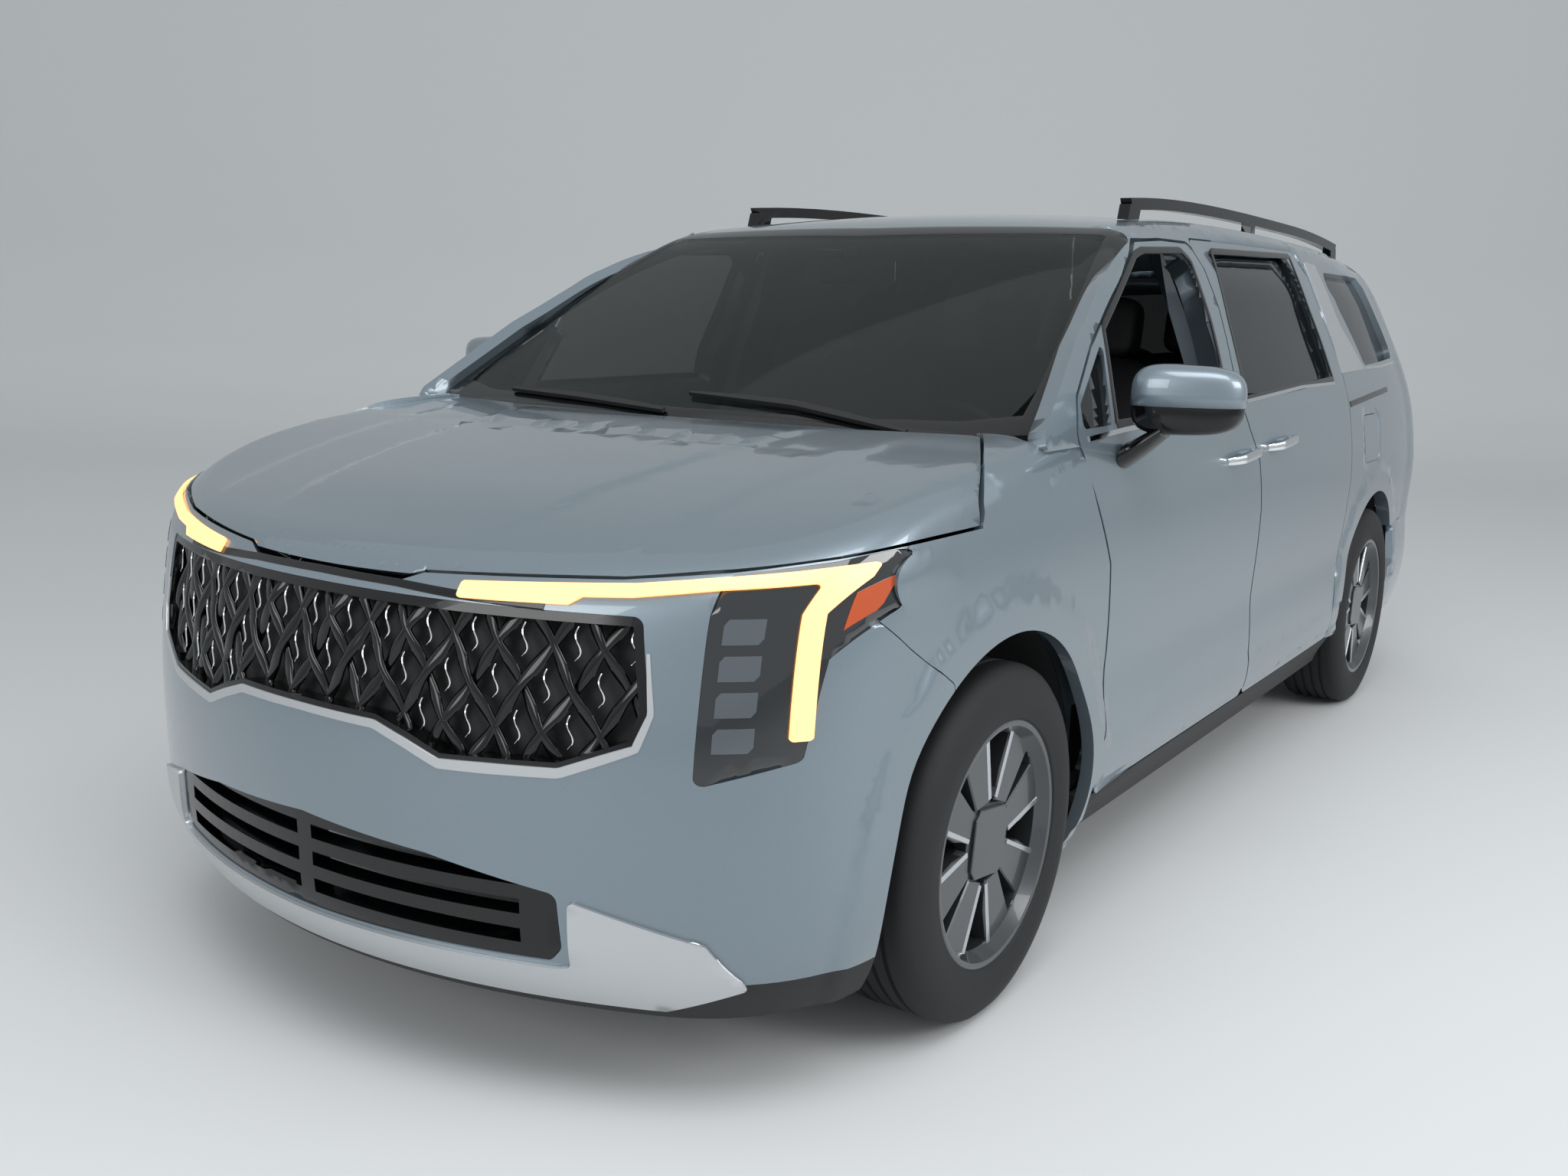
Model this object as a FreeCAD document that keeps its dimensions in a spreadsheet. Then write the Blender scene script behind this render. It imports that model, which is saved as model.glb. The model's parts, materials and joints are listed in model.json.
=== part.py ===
import FreeCAD, Part
import math
import os
from FreeCAD import Placement, Rotation, Vector

doc = FreeCAD.newDocument("minivan")

# Driving dimensions in millimetres, kept in the sheet
SIZES = [
    ("wheelbase", 3090, "front axle to rear axle"),
    ("front_overhang", 935, "front axle to the nose"),
    ("rear_overhang", 1130, "rear axle to the tail"),
    ("body_width", 1995, "over the wheel arches"),
    ("body_height", 1740, "ground to the roof panel"),
    ("wheel_centre_y", 870, "centre plane to the middle of a tyre"),
    ("tyre_radius", 370, "tyre tread radius"),
    ("tyre_width", 235, "tyre section width"),
    ("bead_radius", 241, "rim bead seat radius"),
    ("flange_radius", 257, "rim flange radius"),
    ("barrel_radius", 226, "inside radius of the rim barrel"),
    ("hub_face_y", 918, "centre plane to the wheel mounting face"),
    ("spoke_thickness", 30, "spoke depth along the axle"),
    ("hub_radius", 78, "wheel hub disc"),
    ("spoke_width", 34, "one arm of a forked spoke"),
    ("fork_angle", 20, "each arm of a fork from the fork's middle, degrees"),
    ("cover_half", 68, "half the square hub cover"),
    ("cover_turn", -8, "wheel's pattern from upright, degrees"),
    ("disc_radius", 162, "brake disc"),
    ("disc_thickness", 28, "brake disc"),
    ("spindle_radius", 30, "knuckle spindle"),
    ("running_gap", 0.4, "between spindle and hub bore"),
    ("kingpin_y", 790, "centre plane to the steering axis"),
    ("arch_radius", 440, "wheel arch lip"),
    ("flare_radius", 515, "inner crease of the arch flare"),
    ("flare_outer_radius", 570, "outer crease of the arch flare"),
    ("flare_height", 8, "arch flare above the body side"),
    ("liner_radius", 452, "inside of the wheel arch liner"),
    ("liner_wall", 6, "wheel arch liner"),
    ("front_liner_y", 515, "centre plane to the front liner's inner wall"),
    ("rear_liner_y", 700, "centre plane to the rear liner's inner wall"),
    ("door_gap", 8, "shut gap round a hinged door"),
    ("panel_gap", 0.4, "between fixed panels"),
    ("slider_gap", 5, "shut gap round a sliding door"),
    ("gate_gap", 6, "between the tailgate and the body"),
    ("glass_gap", 0.7, "round the windshield"),
    ("trim_gap", 2, "shut line between the front bumper and a fender"),
    ("hood_gap", 6.4, "shut gap round the hood"),
    ("door_thickness", 62, "whole door"),
    ("door_skin", 12, "outer edge flange of a door"),
    ("glass_channel", 4, "door's inner box outside its window's edge"),
    ("door_inset", 30, "inner door box inside the outer skin's edge"),
    ("side_wall", 40, "body side panel"),
    ("fender_wall", 20, "front fender"),
    ("roof_wall", 26, "roof panel"),
    ("hood_wall", 24, "hood with its inner frame"),
    ("bumper_wall", 18, "bumper cover"),
    ("gate_wall", 45, "tailgate"),
    ("glass_wall", 5, "glazing"),
    ("glass_inset", 22, "side glass inside the outer surface"),
    ("lamp_depth", 45, "headlamp housing"),
    ("pillar_inset", 84, "inner pillar behind the outer surface"),
    ("pillar_wall", 45, "inner pillar"),
    ("sill_wall", 40, "sill cladding"),
    ("seat_gap", 0.3, "clearance where a piece is seated"),
    ("floor_top", 330, "floor above the ground"),
    ("floor_thickness", 30, "floor pan"),
    ("corner_blend_front", 190, "roundness of the front corners"),
    ("corner_blend_rear", 170, "roundness of the rear corners"),
    ("hood_blend", 60, "roundness between hood and fender"),
    ("roof_blend", 80, "roundness between roof and side"),
    ("flap_wall", 5, "fuel flap"),
    ("flap_gap", 3, "shut line round the fuel flap"),
    ("cowl_depth", 32, "cowl panel below the hood's surface"),
    ("grille_depth", 34, "woven grille"),
    ("strand_inset", 16, "woven grille behind the nose surface"),
    ("strand_width", 13, "strand of the grille"),
    ("strand_pitch", 92, "between neighbouring crossings"),
    ("strand_rise", 150, "height of one diamond"),
    ("grille_half_width", 690, "half the grille"),
    ("frame_depth", 40, "grille surround"),
    ("frame_inset", 2, "grille surround behind the nose surface"),
    ("frame_width", 16, "grille surround"),
    ("strip_depth", 7, "light strip"),
    ("strip_proud", 7.3, "light strip's outer face over the nose surface"),
    ("skid_wall", 26, "skid trim"),
    ("skid_proud", 8, "skid trim over the bumper"),
    ("engine_length", 560, "engine and gearbox, across the car"),
    ("engine_width", 760, "engine and gearbox"),
    ("engine_height", 560, "engine and gearbox"),
    ("frame_length", 900, "front subframe"),
    ("frame_y", 420, "centre plane to a subframe rail"),
    ("frame_rail", 70, "subframe rail section"),
    ("frame_top", 262, "top of the front subframe"),
    ("striker_gap", 0.8, "between the sliding door and its striker, across the car"),
    ("arm_width", 70, "lower arm and trailing arm"),
    ("arm_height", 40, "lower arm"),
    ("carrier_y", 800, "centre plane to the outer face of a rear carrier"),
    ("carrier_wall", 30, "rear carrier"),
    ("link_y", 300, "centre plane to a rear arm's inner end"),
    ("link_z", 222, "underside of a rear arm"),
    ("link_height", 45, "rear arm"),
    ("spindle_end_y", 928, "centre plane to the spindle's end"),
    ("tank_clear", 595, "rear axle to the fuel tank"),
    ("tank_length", 620, "fuel tank"),
    ("tank_width", 560, "fuel tank"),
    ("tank_height", 110, "fuel tank"),
    ("tunnel_half", 140, "centre plane to the exhaust"),
    ("pipe_radius", 30, "exhaust pipe"),
    ("pipe_length", 2600, "exhaust pipe"),
    ("silencer_radius", 85, "rear silencer"),
    ("silencer_length", 420, "rear silencer"),
    ("floor_half_width", 850, "half the floor"),
    ("sill_inset", 70, "inner sill behind the outer surface"),
    ("sill_plate", 34, "inner sill"),
    ("rail_inset", 30, "inner roof rail behind the outer surface"),
    ("shaft_window", 320, "opening for the drive shaft and arm in the front liner"),
    ("dash_half_width", 740, "half the dashboard"),
    ("seat_length", 500, "seat cushion"),
    ("seat_width", 520, "seat cushion"),
    ("seat_height", 400, "cushion top above the floor"),
    ("seat_thickness", 150, "seat cushion"),
    ("seat_back_height", 560, "seat back above the cushion"),
    ("seat_lean", 18, "seat back from upright, degrees"),
    ("headrest_height", 190, "headrest above the seat back"),
    ("seat_y", 390, "centre plane to a seat's middle"),
    ("bench_width", 1240, "rear bench"),
    ("steering_radius", 180, "steering wheel"),
    ("steering_grip", 15, "steering wheel rim section radius"),
    ("steering_hub", 62, "steering wheel hub"),
    ("column_radius", 24, "steering column"),
    ("column_length", 230, "wheel's centre to the column's hidden end"),
    ("hinge_radius", 66, "door hinge leaf about its axis"),
    ("hinge_height", 30, "door hinge leaf"),
    ("hinge_x", 1073, "door hinge axis ahead of the body's middle"),
    ("hinge_y", 975, "centre plane to the door hinge axis"),
    ("steering_tilt", 25, "steering wheel from upright, degrees"),
    ("rail_y", 628, "centre plane to a roof rail"),
    ("rail_radius", 16, "roof rail"),
    ("rail_clear", 42, "roof rail above the roof"),
    ("mirror_reach", 190, "mirror housing out from the body"),
    ("overrun", 60, "how far a cutter passes the piece it cuts"),
]
sheet = doc.addObject("Spreadsheet::Sheet", "Sizes")
for row, (alias, value, meaning) in enumerate(SIZES, start=1):
    sheet.set("A%d" % row, meaning)
    sheet.set("B%d" % row, str(value))
    sheet.setAlias("B%d" % row, alias)
doc.recompute()


def size(alias):
    """Value of a named size in the sheet, in millimetres."""
    return float(sheet.get(alias))


half_width = size("body_width") / 2
height = size("body_height")
body_length = size("wheelbase") + size("front_overhang") + size("rear_overhang")
front_x = body_length / 2
rear_x = -body_length / 2
front_axle = front_x - size("front_overhang")
rear_axle = rear_x + size("rear_overhang")
axle_z = size("tyre_radius")


def at(station):
    """X of a station: 0 is the rear axle, 1 the front axle, 2 the nose and -1 the tail."""
    if station > 1:
        return front_axle + (station - 1) * size("front_overhang")
    if station < 0:
        return rear_axle + station * size("rear_overhang")
    return rear_axle + station * size("wheelbase")


def across(share):
    return share * half_width


def up(share):
    return share * height


def spline(pairs):
    """Natural cubic through (place, value) pairs, straight beyond its ends."""
    xs = [p[0] for p in pairs]
    ys = [p[1] for p in pairs]
    n = len(xs)
    step = [xs[i + 1] - xs[i] for i in range(n - 1)]
    slope = [(ys[i + 1] - ys[i]) / step[i] for i in range(n - 1)]
    diag = [1.0] * n
    rhs = [0.0] * n
    upper = [0.0] * n
    for i in range(1, n - 1):
        diag[i] = 2 * (step[i - 1] + step[i]) - step[i - 1] * upper[i - 1]
        upper[i] = step[i] / diag[i]
        rhs[i] = (6 * (slope[i] - slope[i - 1]) - step[i - 1] * rhs[i - 1]) / diag[i]
    bend = [0.0] * n
    for i in range(n - 2, 0, -1):
        bend[i] = rhs[i] - upper[i] * bend[i + 1]
    first = slope[0] - step[0] * bend[1] / 6
    last = slope[-1] + step[-1] * bend[-2] / 6

    def value(place):
        if place <= xs[0]:
            return ys[0] + first * (place - xs[0])
        if place >= xs[-1]:
            return ys[-1] + last * (place - xs[-1])
        i = 0
        while place > xs[i + 1]:
            i += 1
        a = (xs[i + 1] - place) / step[i]
        b = 1 - a
        curl = (a ** 3 - a) * bend[i] + (b ** 3 - b) * bend[i + 1]
        return a * ys[i] + b * ys[i + 1] + curl * step[i] ** 2 / 6

    return value


def rounded_max(a, b, blend):
    """Larger of two distances, with the corner between them rounded over blend."""
    share = max(blend - abs(a - b), 0) / blend
    return max(a, b) + share * share * blend / 4


# Body surface: sections as shares of the half width and height, stations along the body
side_shares = [
    (0.0862, 0.8822), (0.1437, 0.9474), (0.1897, 0.9744), (0.2414, 0.9875), (0.3161, 0.9865),
    (0.3563, 0.9805), (0.4023, 0.9825), (0.4885, 0.9865), (0.5632, 0.9805), (0.6207, 0.9664),
    (0.6724, 0.9464), (0.7184, 0.9183), (0.7759, 0.8812), (0.8333, 0.8401), (0.8908, 0.795),
    (0.9425, 0.7499), (0.9885, 0.7068), (1.0345, 0.6617),
]
side_plan_shares = [
    (-0.9996, 0.0722), (-0.6659, 0.0341), (-0.3119, 0.01), (0.0477, 0), (0.8568, 0),
    (1.0615, 0.003), (1.4893, 0.0201), (1.9995, 0.0682),
]
tail_taper_shares = [
    (-0.9996, 0.0301), (-0.3119, 0.016), (0.1772, 0), (0.8568, 0),
]
nose_shares = [
    (0.0862, 1.9064), (0.1236, 1.9439), (0.1609, 1.9813), (0.2011, 1.9941), (0.2586, 1.9984),
    (0.3218, 2), (0.3793, 1.9963), (0.4368, 1.9845), (0.4943, 1.9684), (0.5402, 1.9492),
    (0.5747, 1.9225), (0.6207, 1.8743),
]
tail_shares = [
    (0.0862, -0.9137), (0.1437, -0.9668), (0.2299, -0.9934), (0.3218, -1), (0.4023, -0.9934),
    (0.4598, -0.981), (0.5747, -0.965), (0.6897, -0.9314), (0.8046, -0.8606), (0.9195, -0.765),
    (0.977, -0.7102),
]
hood_shares = [
    (0.8568, 0.6868), (0.9312, 0.677), (0.9733, 0.6701), (1.2219, 0.6506), (1.4893, 0.6264),
    (1.7032, 0.6006), (1.8102, 0.5822), (1.8711, 0.569), (1.9171, 0.5529), (1.9995, 0.5115),
]
hood_crown_shares = [
    (0.9215, 0.0034), (1.0615, 0.0057), (1.2647, 0.0092), (1.4091, 0.0155), (1.5214, 0.0241),
    (1.6283, 0.0356), (1.8102, 0.0546), (1.9995, 0.0805),
]
cabin_shares = [
    (-0.7987, 0.9339), (-0.6659, 0.9511), (-0.3119, 0.9787), (0.0801, 0.9954), (0.3066, 1),
    (0.4684, 0.9954), (0.5979, 0.977), (0.6626, 0.9529), (0.695, 0.9282), (0.7435, 0.8822),
    (0.8244, 0.8), (0.8992, 0.7201), (0.9539, 0.6609), (1.0615, 0.5908),
]
cabin_crown_shares = [
    (-0.7544, 0.0287), (-0.0465, 0.0345), (0.3066, 0.0379), (0.4684, 0.0379), (0.5979, 0.0299),
    (0.695, 0.0195), (0.8244, 0.0207), (0.9539, 0.0241),
]
nose_sweep_share = 0.346
header_station_share = 0.6626
tail_sweep_share = 0.13

side_curve = spline(side_shares)
side_plan = spline(side_plan_shares)
tail_taper = spline(tail_taper_shares)
nose_curve = spline(nose_shares)
tail_curve = spline(tail_shares)
hood_curve = spline(hood_shares)
hood_crown = spline(hood_crown_shares)
cabin_curve = spline(cabin_shares)
cabin_crown = spline(cabin_crown_shares)


def station_of(x):
    """Station of an X place, the inverse of at."""
    if x > front_axle:
        return 1 + (x - front_axle) / size("front_overhang")
    if x < rear_axle:
        return (x - rear_axle) / size("rear_overhang")
    return (x - rear_axle) / size("wheelbase")


def flank(x, y, z):
    """Distance outside the body sides."""
    s = station_of(x)
    taper = max(z / height - 0.5, 0) * 2
    return abs(y) - across(side_curve(z / height) - side_plan(s) - taper * tail_taper(s))


def ends(x, y, z):
    """Distance outside the body sides, nose and tail, with rounded corners."""
    sweep = (y / half_width) ** 2 * half_width
    nose = x - at(nose_curve(z / height)) + nose_sweep_share * sweep
    tail = at(tail_curve(z / height)) - x + tail_sweep_share * sweep
    outside = rounded_max(flank(x, y, z), nose, size("corner_blend_front"))
    return rounded_max(outside, tail, size("corner_blend_rear"))


def lower_body(x, y, z):
    """Distance outside the body under the hood's surface."""
    s = station_of(x)
    top = z - up(hood_curve(s) - hood_crown(s) * (y / half_width) ** 2)
    return rounded_max(ends(x, y, z), top, size("hood_blend"))


def side_body(x, y, z):
    """Distance outside the body with the roof carried forward over the windshield."""
    s = min(station_of(x), header_station_share)
    top = z - up(cabin_curve(s) - cabin_crown(s) * (y / half_width) ** 2)
    return rounded_max(ends(x, y, z), top, size("roof_blend"))


def cabin_body(x, y, z):
    """Distance outside the body under the windshield's and roof's surface."""
    s = station_of(x)
    top = z - up(cabin_curve(s) - cabin_crown(s) * (y / half_width) ** 2)
    return rounded_max(ends(x, y, z), top, size("roof_blend"))


def meet(field, start, direction, level):
    """Point where a ray from inside the body crosses the surface at a level."""
    near = 0.0
    far = 2.2 * half_width
    inside = field(start.x, start.y, start.z) - level
    point = start + direction * far
    outside = field(point.x, point.y, point.z) - level
    for _ in range(60):
        middle = (near * outside - far * inside) / (outside - inside)
        point = start + direction * middle
        value = field(point.x, point.y, point.z) - level
        if abs(value) < 1e-7 * half_width:
            break
        if value < 0:
            near, inside, outside = middle, value, outside / 2
        else:
            far, outside, inside = middle, value, inside / 2
    return point


def sheet_of(field, rays):
    """Face of the body surface that a grid of rays crosses, with the sign of its inward side."""
    grid = [[meet(field, start, direction, 0.0) for start, direction in row] for row in rays]
    surface = Part.BSplineSurface()
    surface.interpolate(grid)
    u0, u1, v0, v1 = surface.bounds()
    normal = surface.normal((u0 + u1) / 2, (v0 + v1) / 2)
    outward = rays[len(rays) // 2][len(rays[0]) // 2][1]
    return surface.toShape(), -1 if normal.dot(outward) > 0 else 1


def panel(sheet_face, outline, wall, depth=0.0, holes=()):
    """Closed panel: a trimmed stretch of the body surface, set in by depth and thickened inwards."""
    face, inward = sheet_face
    face = face.common(outline)
    for hole in holes:
        face = face.cut(hole)
    pieces = []
    for single in face.Faces:
        if depth:
            single = single.makeOffsetShape(inward * depth, 0.01)
        solid = single.makeOffsetShape(inward * wall, 0.01, fill=True)
        if solid.Volume < 0:
            solid.reverse()
        pieces.append(solid)
    if len(pieces) == 1:
        return pieces[0]
    return Part.makeCompound(pieces)


def fan(columns, rows):
    """Rays from the centre plane: a column is an origin X and an azimuth, a row an origin Z
    and an elevation, both angles in degrees."""
    rays = []
    for origin_x, azimuth in columns:
        line = []
        for origin_z, elevation in rows:
            flat = math.cos(math.radians(elevation))
            direction = Vector(flat * math.cos(math.radians(azimuth)),
                               flat * math.sin(math.radians(azimuth)),
                               math.sin(math.radians(elevation)))
            line.append((Vector(origin_x, 0, origin_z), direction))
        rays.append(line)
    return rays


def steps(first, last, count):
    return [first + (last - first) * i / (count - 1) for i in range(count)]


def rounded_face(points, radius):
    """Plane face through 3-D points with every corner rounded as far as its edges allow."""
    count = len(points)
    edges = []
    entry = []
    for i in range(count):
        here = points[i]
        back = points[i - 1] - here
        on = points[(i + 1) % count] - here
        half = back.getAngle(on) / 2
        if math.pi / 2 - half < 0.02:
            entry.append((here, None, here))
            continue
        reach = min(radius / math.tan(half), 0.45 * back.Length, 0.45 * on.Length)
        a = here + back.normalize() * reach
        b = here + on.normalize() * reach
        true_radius = reach * math.tan(half)
        inward = (a + b - here * 2).normalize()
        entry.append((a, here + inward * (true_radius / math.sin(half) - true_radius), b))
    for i in range(count):
        a, middle, b = entry[i]
        if middle is not None:
            edges.append(Part.Arc(a, middle, b).toShape())
        edges.append(Part.makeLine(b, entry[(i + 1) % count][0]))
    return Part.Face(Part.Wire(edges))


def side_prism(shares, radius, grow=0.0, low=0.0, high=1.2, mirrored=False):
    """Cutter seen from the side: (station, height share) points, swept across the left side."""
    points = [Vector(at(s), across(low), up(h)) for s, h in shares]
    face = rounded_face(points, radius)
    if grow:
        face = Part.Face(face.OuterWire.makeOffset2D(grow))
    prism = face.extrude(Vector(0, across(high - low), 0))
    return mirror(prism) if mirrored else prism


def end_prism(shares, radius, grow=0.0, low=1.0, high=2.2):
    """Cutter seen from the front: (half width share, height share) points, swept along X."""
    points = [Vector(at(low), across(y), up(h)) for y, h in shares]
    face = rounded_face(points, radius)
    if grow:
        face = Part.Face(face.OuterWire.makeOffset2D(grow))
    return face.extrude(Vector(at(high) - at(low), 0, 0))


def top_prism(shares, radius, grow=0.0, low=0.0, high=1.2):
    """Cutter seen from above: (station, half width share) points, swept up."""
    points = [Vector(at(s), across(y), up(low)) for s, y in shares]
    face = rounded_face(points, radius)
    if grow:
        face = Part.Face(face.OuterWire.makeOffset2D(grow))
    return face.extrude(Vector(0, 0, up(high - low)))


def mirror(shape):
    return shape.mirror(Vector(0, 0, 0), Vector(0, 1, 0))


def both(shape):
    """A left piece and its right twin as one compound of two solids."""
    return Part.makeCompound(shape.Solids + mirror(shape).Solids)


def mirrored_shares(shares):
    """Outline of the left half closed with its right twin, from and back to the centre."""
    return shares + [(-y, h) for y, h in reversed(shares)]


def barrel(radius, centre_x, inner_y, outer_y, centre_z=None):
    """Cylinder across the body on the left side."""
    base = Vector(centre_x, inner_y, axle_z if centre_z is None else centre_z)
    return Part.makeCylinder(radius, outer_y - inner_y, base, Vector(0, 1, 0))


def block(x0, x1, y0, y1, z0, z1):
    return Part.makeBox(x1 - x0, y1 - y0, z1 - z0, Vector(x0, y0, z0))


nodes = []


def keep(label, shape, place=None):
    """Sub-part whose shape is worked out above, under its own label and at its own place."""
    feature = doc.addObject("Part::Feature", label)
    feature.Label = label
    feature.Shape = shape
    feature.Placement = place or Placement()
    nodes.append(feature)
    return feature


# Ray grids for the panels, each a fan from inside the body
fender_columns = [(x, 90) for x in steps(at(0.818), at(1.5749), 14)]
fender_rows = [(up(h), 0) for h in (0.12, 0.18, 0.24, 0.31, 0.38, 0.45)]
fender_rows += [(up(0.45), a) for a in (7, 14, 21, 28, 35, 42)]
fender_rays = fan(fender_columns, fender_rows)
nose_columns = [(front_axle, a) for a in steps(-86, 86, 31)]
nose_rows = [(up(h), 0) for h in (0.11, 0.14, 0.18, 0.23, 0.28, 0.34, 0.4, 0.46, 0.5)]
nose_rows += [(up(0.52), a) for a in (0, 3, 6, 9, 12)]
nose_rays = fan(nose_columns, nose_rows)
tail_columns = [(at(-0.3119), a) for a in steps(94, 266, 25)]
tail_rows = [(up(h), 0) for h in (0.12, 0.17, 0.22, 0.28, 0.34, 0.4, 0.46, 0.52)]
tail_rows += [(up(0.52), a) for a in (7, 14, 21, 28, 35, 42, 49, 56, 62)]
tail_rays = fan(tail_columns, tail_rows)


def hood_ray(length_share, width_share):
    """Ray that leans forward near the nose and outwards near the fender."""
    y = across(width_share)
    tip = at(1.9406) - nose_sweep_share * width_share ** 2 * half_width
    x = at(0.8989) + (tip - at(0.8989)) * length_share
    target = Vector(x, y, up(0.67 - 0.115 * length_share ** 2))
    start = Vector(x - (x - at(0.8989)) * 0.3 * length_share, 0, up(0.24 + 0.12 * length_share))
    return start, (target - start).normalize()


hood_rays = [[hood_ray(u, v) for v in steps(-1.13, 1.13, 25)] for u in steps(0, 1, 16)]


def cabin_ray(x, width_share):
    start = Vector(x * 0.9, 0, up(0.35))
    target = Vector(x, across(width_share), up(0.96 if x < at(0.6626) else 0.96 - 0.3 * (x - at(0.6626)) / half_width))
    return start, (target - start).normalize()


cabin_rays = [[cabin_ray(x, v) for v in steps(-0.9, 0.9, 17)] for x in steps(at(0.9733), at(-0.7456), 26)]

# Outlines on the left side
door_front_shares = [(0.8513, 0.1983), (0.8377, 0.2868), (0.8345, 0.3897), (0.8413, 0.508), (0.872, 0.6138), (0.8856, 0.6713), (0.8697, 0.7184)]
door_top_shares = [(0.8215, 0.7776), (0.7704, 0.8253), (0.7005, 0.8868), (0.6497, 0.9276), (0.583, 0.9356), (0.5099, 0.9368)]
door_rear_shares = [(0.5047, 0.8391), (0.5163, 0.7414), (0.5189, 0.6897), (0.5073, 0.6466), (0.4859, 0.5954), (0.4801, 0.5115), (0.484, 0.3448), (0.4879, 0.1983)]
front_door_shares = door_front_shares + door_top_shares + door_rear_shares
slider_rear_shares = [(0.1756, 0.1983), (0.1675, 0.3218), (0.1497, 0.4023), (0.1364, 0.5172), (0.1332, 0.6552), (0.1303, 0.7155), (0.1448, 0.8333), (0.1448, 0.954)]
slider_shares = [(s - 0.0026, h) for s, h in door_rear_shares[::-1]]
slider_shares = slider_shares + [(0.5073, 0.9448), (0.3714, 0.9494)] + slider_rear_shares[::-1]
front_window_shares = [(0.8121, 0.6816), (0.7875, 0.8046), (0.7694, 0.8207), (0.6694, 0.908), (0.6487, 0.9161), (0.551, 0.9241), (0.5351, 0.9092), (0.5377, 0.8149), (0.5461, 0.7385), (0.5416, 0.6874)]
front_triangle_shares = [(0.873, 0.6805), (0.8681, 0.7103), (0.7969, 0.7897), (0.8225, 0.6816)]
slider_window_shares = [(0.4992, 0.6931), (0.4879, 0.8149), (0.4652, 0.9299), (0.1888, 0.9425), (0.1901, 0.8477), (0.1756, 0.7103)]
quarter_window_shares = [(0.0047, 0.731), (0.0775, 0.9195), (-0.396, 0.9195), (-0.5243, 0.7414)]
side_outline_shares = [(0.9409, 0.6609), (0.9361, 0.6839), (0.6303, 1.0345), (-0.8606, 1.0345), (-0.9845, 0.8621), (-0.9845, 0.3678), (-0.2235, 0.3678), (-0.2235, 0.1983), (0.2419, 0.1983), (0.2743, 0.4598), (0.6626, 0.6322), (0.8794, 0.6609)]

# Outlines of the nose and the tail seen from the front, left half
hood_edge_shares = [(0, 0.5425), (0.2045, 0.5443), (0.2476, 0.5534), (0.6125, 0.5638), (0.7719, 0.5747), (0.9023, 0.5868), (0.9875, 0.5977)]
lamp_shares = [(0.7649, 0.5333), (0.7729, 0.5695), (0.9023, 0.581), (0.9624, 0.5908), (0.9684, 0.5316), (0.9173, 0.4908), (0.8992, 0.3931), (0.7639, 0.3678)]
grille_shares = [(0, 0.5287), (0.6657, 0.5282), (0.6917, 0.4368), (0.6737, 0.4023), (0.5514, 0.3736), (0.3308, 0.3678), (0.2627, 0.3839), (0.1905, 0.3966), (0, 0.3977)]
intake_shares = [(0, 0.2816), (0.3008, 0.2701), (0.5464, 0.2471), (0.5534, 0.1897), (0.5313, 0.1747), (0, 0.1713)]
hood_plan_shares = [
    (2.0668, 0), (2.0668, 0.9875), (1.1684, 0.9875), (1.131, 0.9624), (1.0241, 0.9073),
    (0.9377, 0.794), (0.9539, 0.5013), (0.9636, 0),
]


def whole(half, centre_low=True):
    """Closed outline from the points of its left half."""
    return half + [(-a, b) for a, b in half[::-1] if a != 0]


# Cutters shared by neighbouring panels


def hood_cutter(grow):
    """Space of the hood, grown by its shut gap."""
    front = end_prism(whole([(0, 0.8046), (1.0426, 0.8046)] + [(y, h - grow / height) for y, h in hood_edge_shares[::-1]]), 14, 0, 0.8568)
    plan = [(s, y) for s, y in hood_plan_shares]
    outline = plan + [(s, -y) for s, y in plan[::-1] if y != 0]
    return front.common(top_prism(outline, 40, grow, 0.5, 0.8))


lamp_cutter = end_prism(lamp_shares, 14, 0, 1.3663, 2.2)
lamp_space = end_prism(lamp_shares, 14, size("panel_gap"), 1.361, 2.2)
arch_front = barrel(size("arch_radius"), front_axle, across(0.4), across(1.2))
arch_rear = barrel(size("arch_radius"), rear_axle, across(0.4), across(1.2))
bumper_side_shares = [(2.0668, 0.8046), (1.393, 0.8046), (1.393, 0.5954), (1.5321, 0.5333), (1.4091, 0.4856), (1.2519, 0.4328), (1.2519, 0.1149), (2.0668, 0.1149)]


def hinged_panel(sheet_face, outline, radius, wall, holes, inner_holes):
    """Door-like panel: an outer skin to its edge and a thicker inner box set back from it."""
    flange = size("door_skin")
    outer = panel(sheet_face, side_prism(outline, radius, 0, 0.5), flange, 0, holes)
    inset = side_prism(outline, radius, -size("door_inset"), 0.5)
    inner = panel(sheet_face, inset, wall - flange / 2, flange / 2, inner_holes)
    whole_panel = outer.fuse(inner)
    if whole_panel.Volume < 0:
        whole_panel.reverse()
    return whole_panel


# Side structure
side_columns = [(x, 90) for x in steps(at(0.9442), at(-0.3119), 14)]
side_columns += [(at(-0.3119), a) for a in (104, 118, 132, 146, 158)]
low_rows = [(up(h), 0) for h in (0.12, 0.2, 0.29, 0.38, 0.46)]
high_rows = [(up(0.52), a) for a in (0, 8, 16, 24, 32, 40, 48, 56)]
side_sheet = sheet_of(side_body, fan(side_columns, low_rows + high_rows))
flat_columns = [(x, 90) for x in steps(at(0.9409), at(-0.0465), 14)]
door_sheet = sheet_of(ends, fan(flat_columns, low_rows + high_rows[:-1]))
cabin_sheet = sheet_of(cabin_body, cabin_rays)
hood_sheet = sheet_of(lower_body, hood_rays)
fender_sheet = sheet_of(lower_body, fender_rays)
nose_sheet = sheet_of(lower_body, nose_rays)
tail_sheet = sheet_of(cabin_body, tail_rays)

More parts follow.
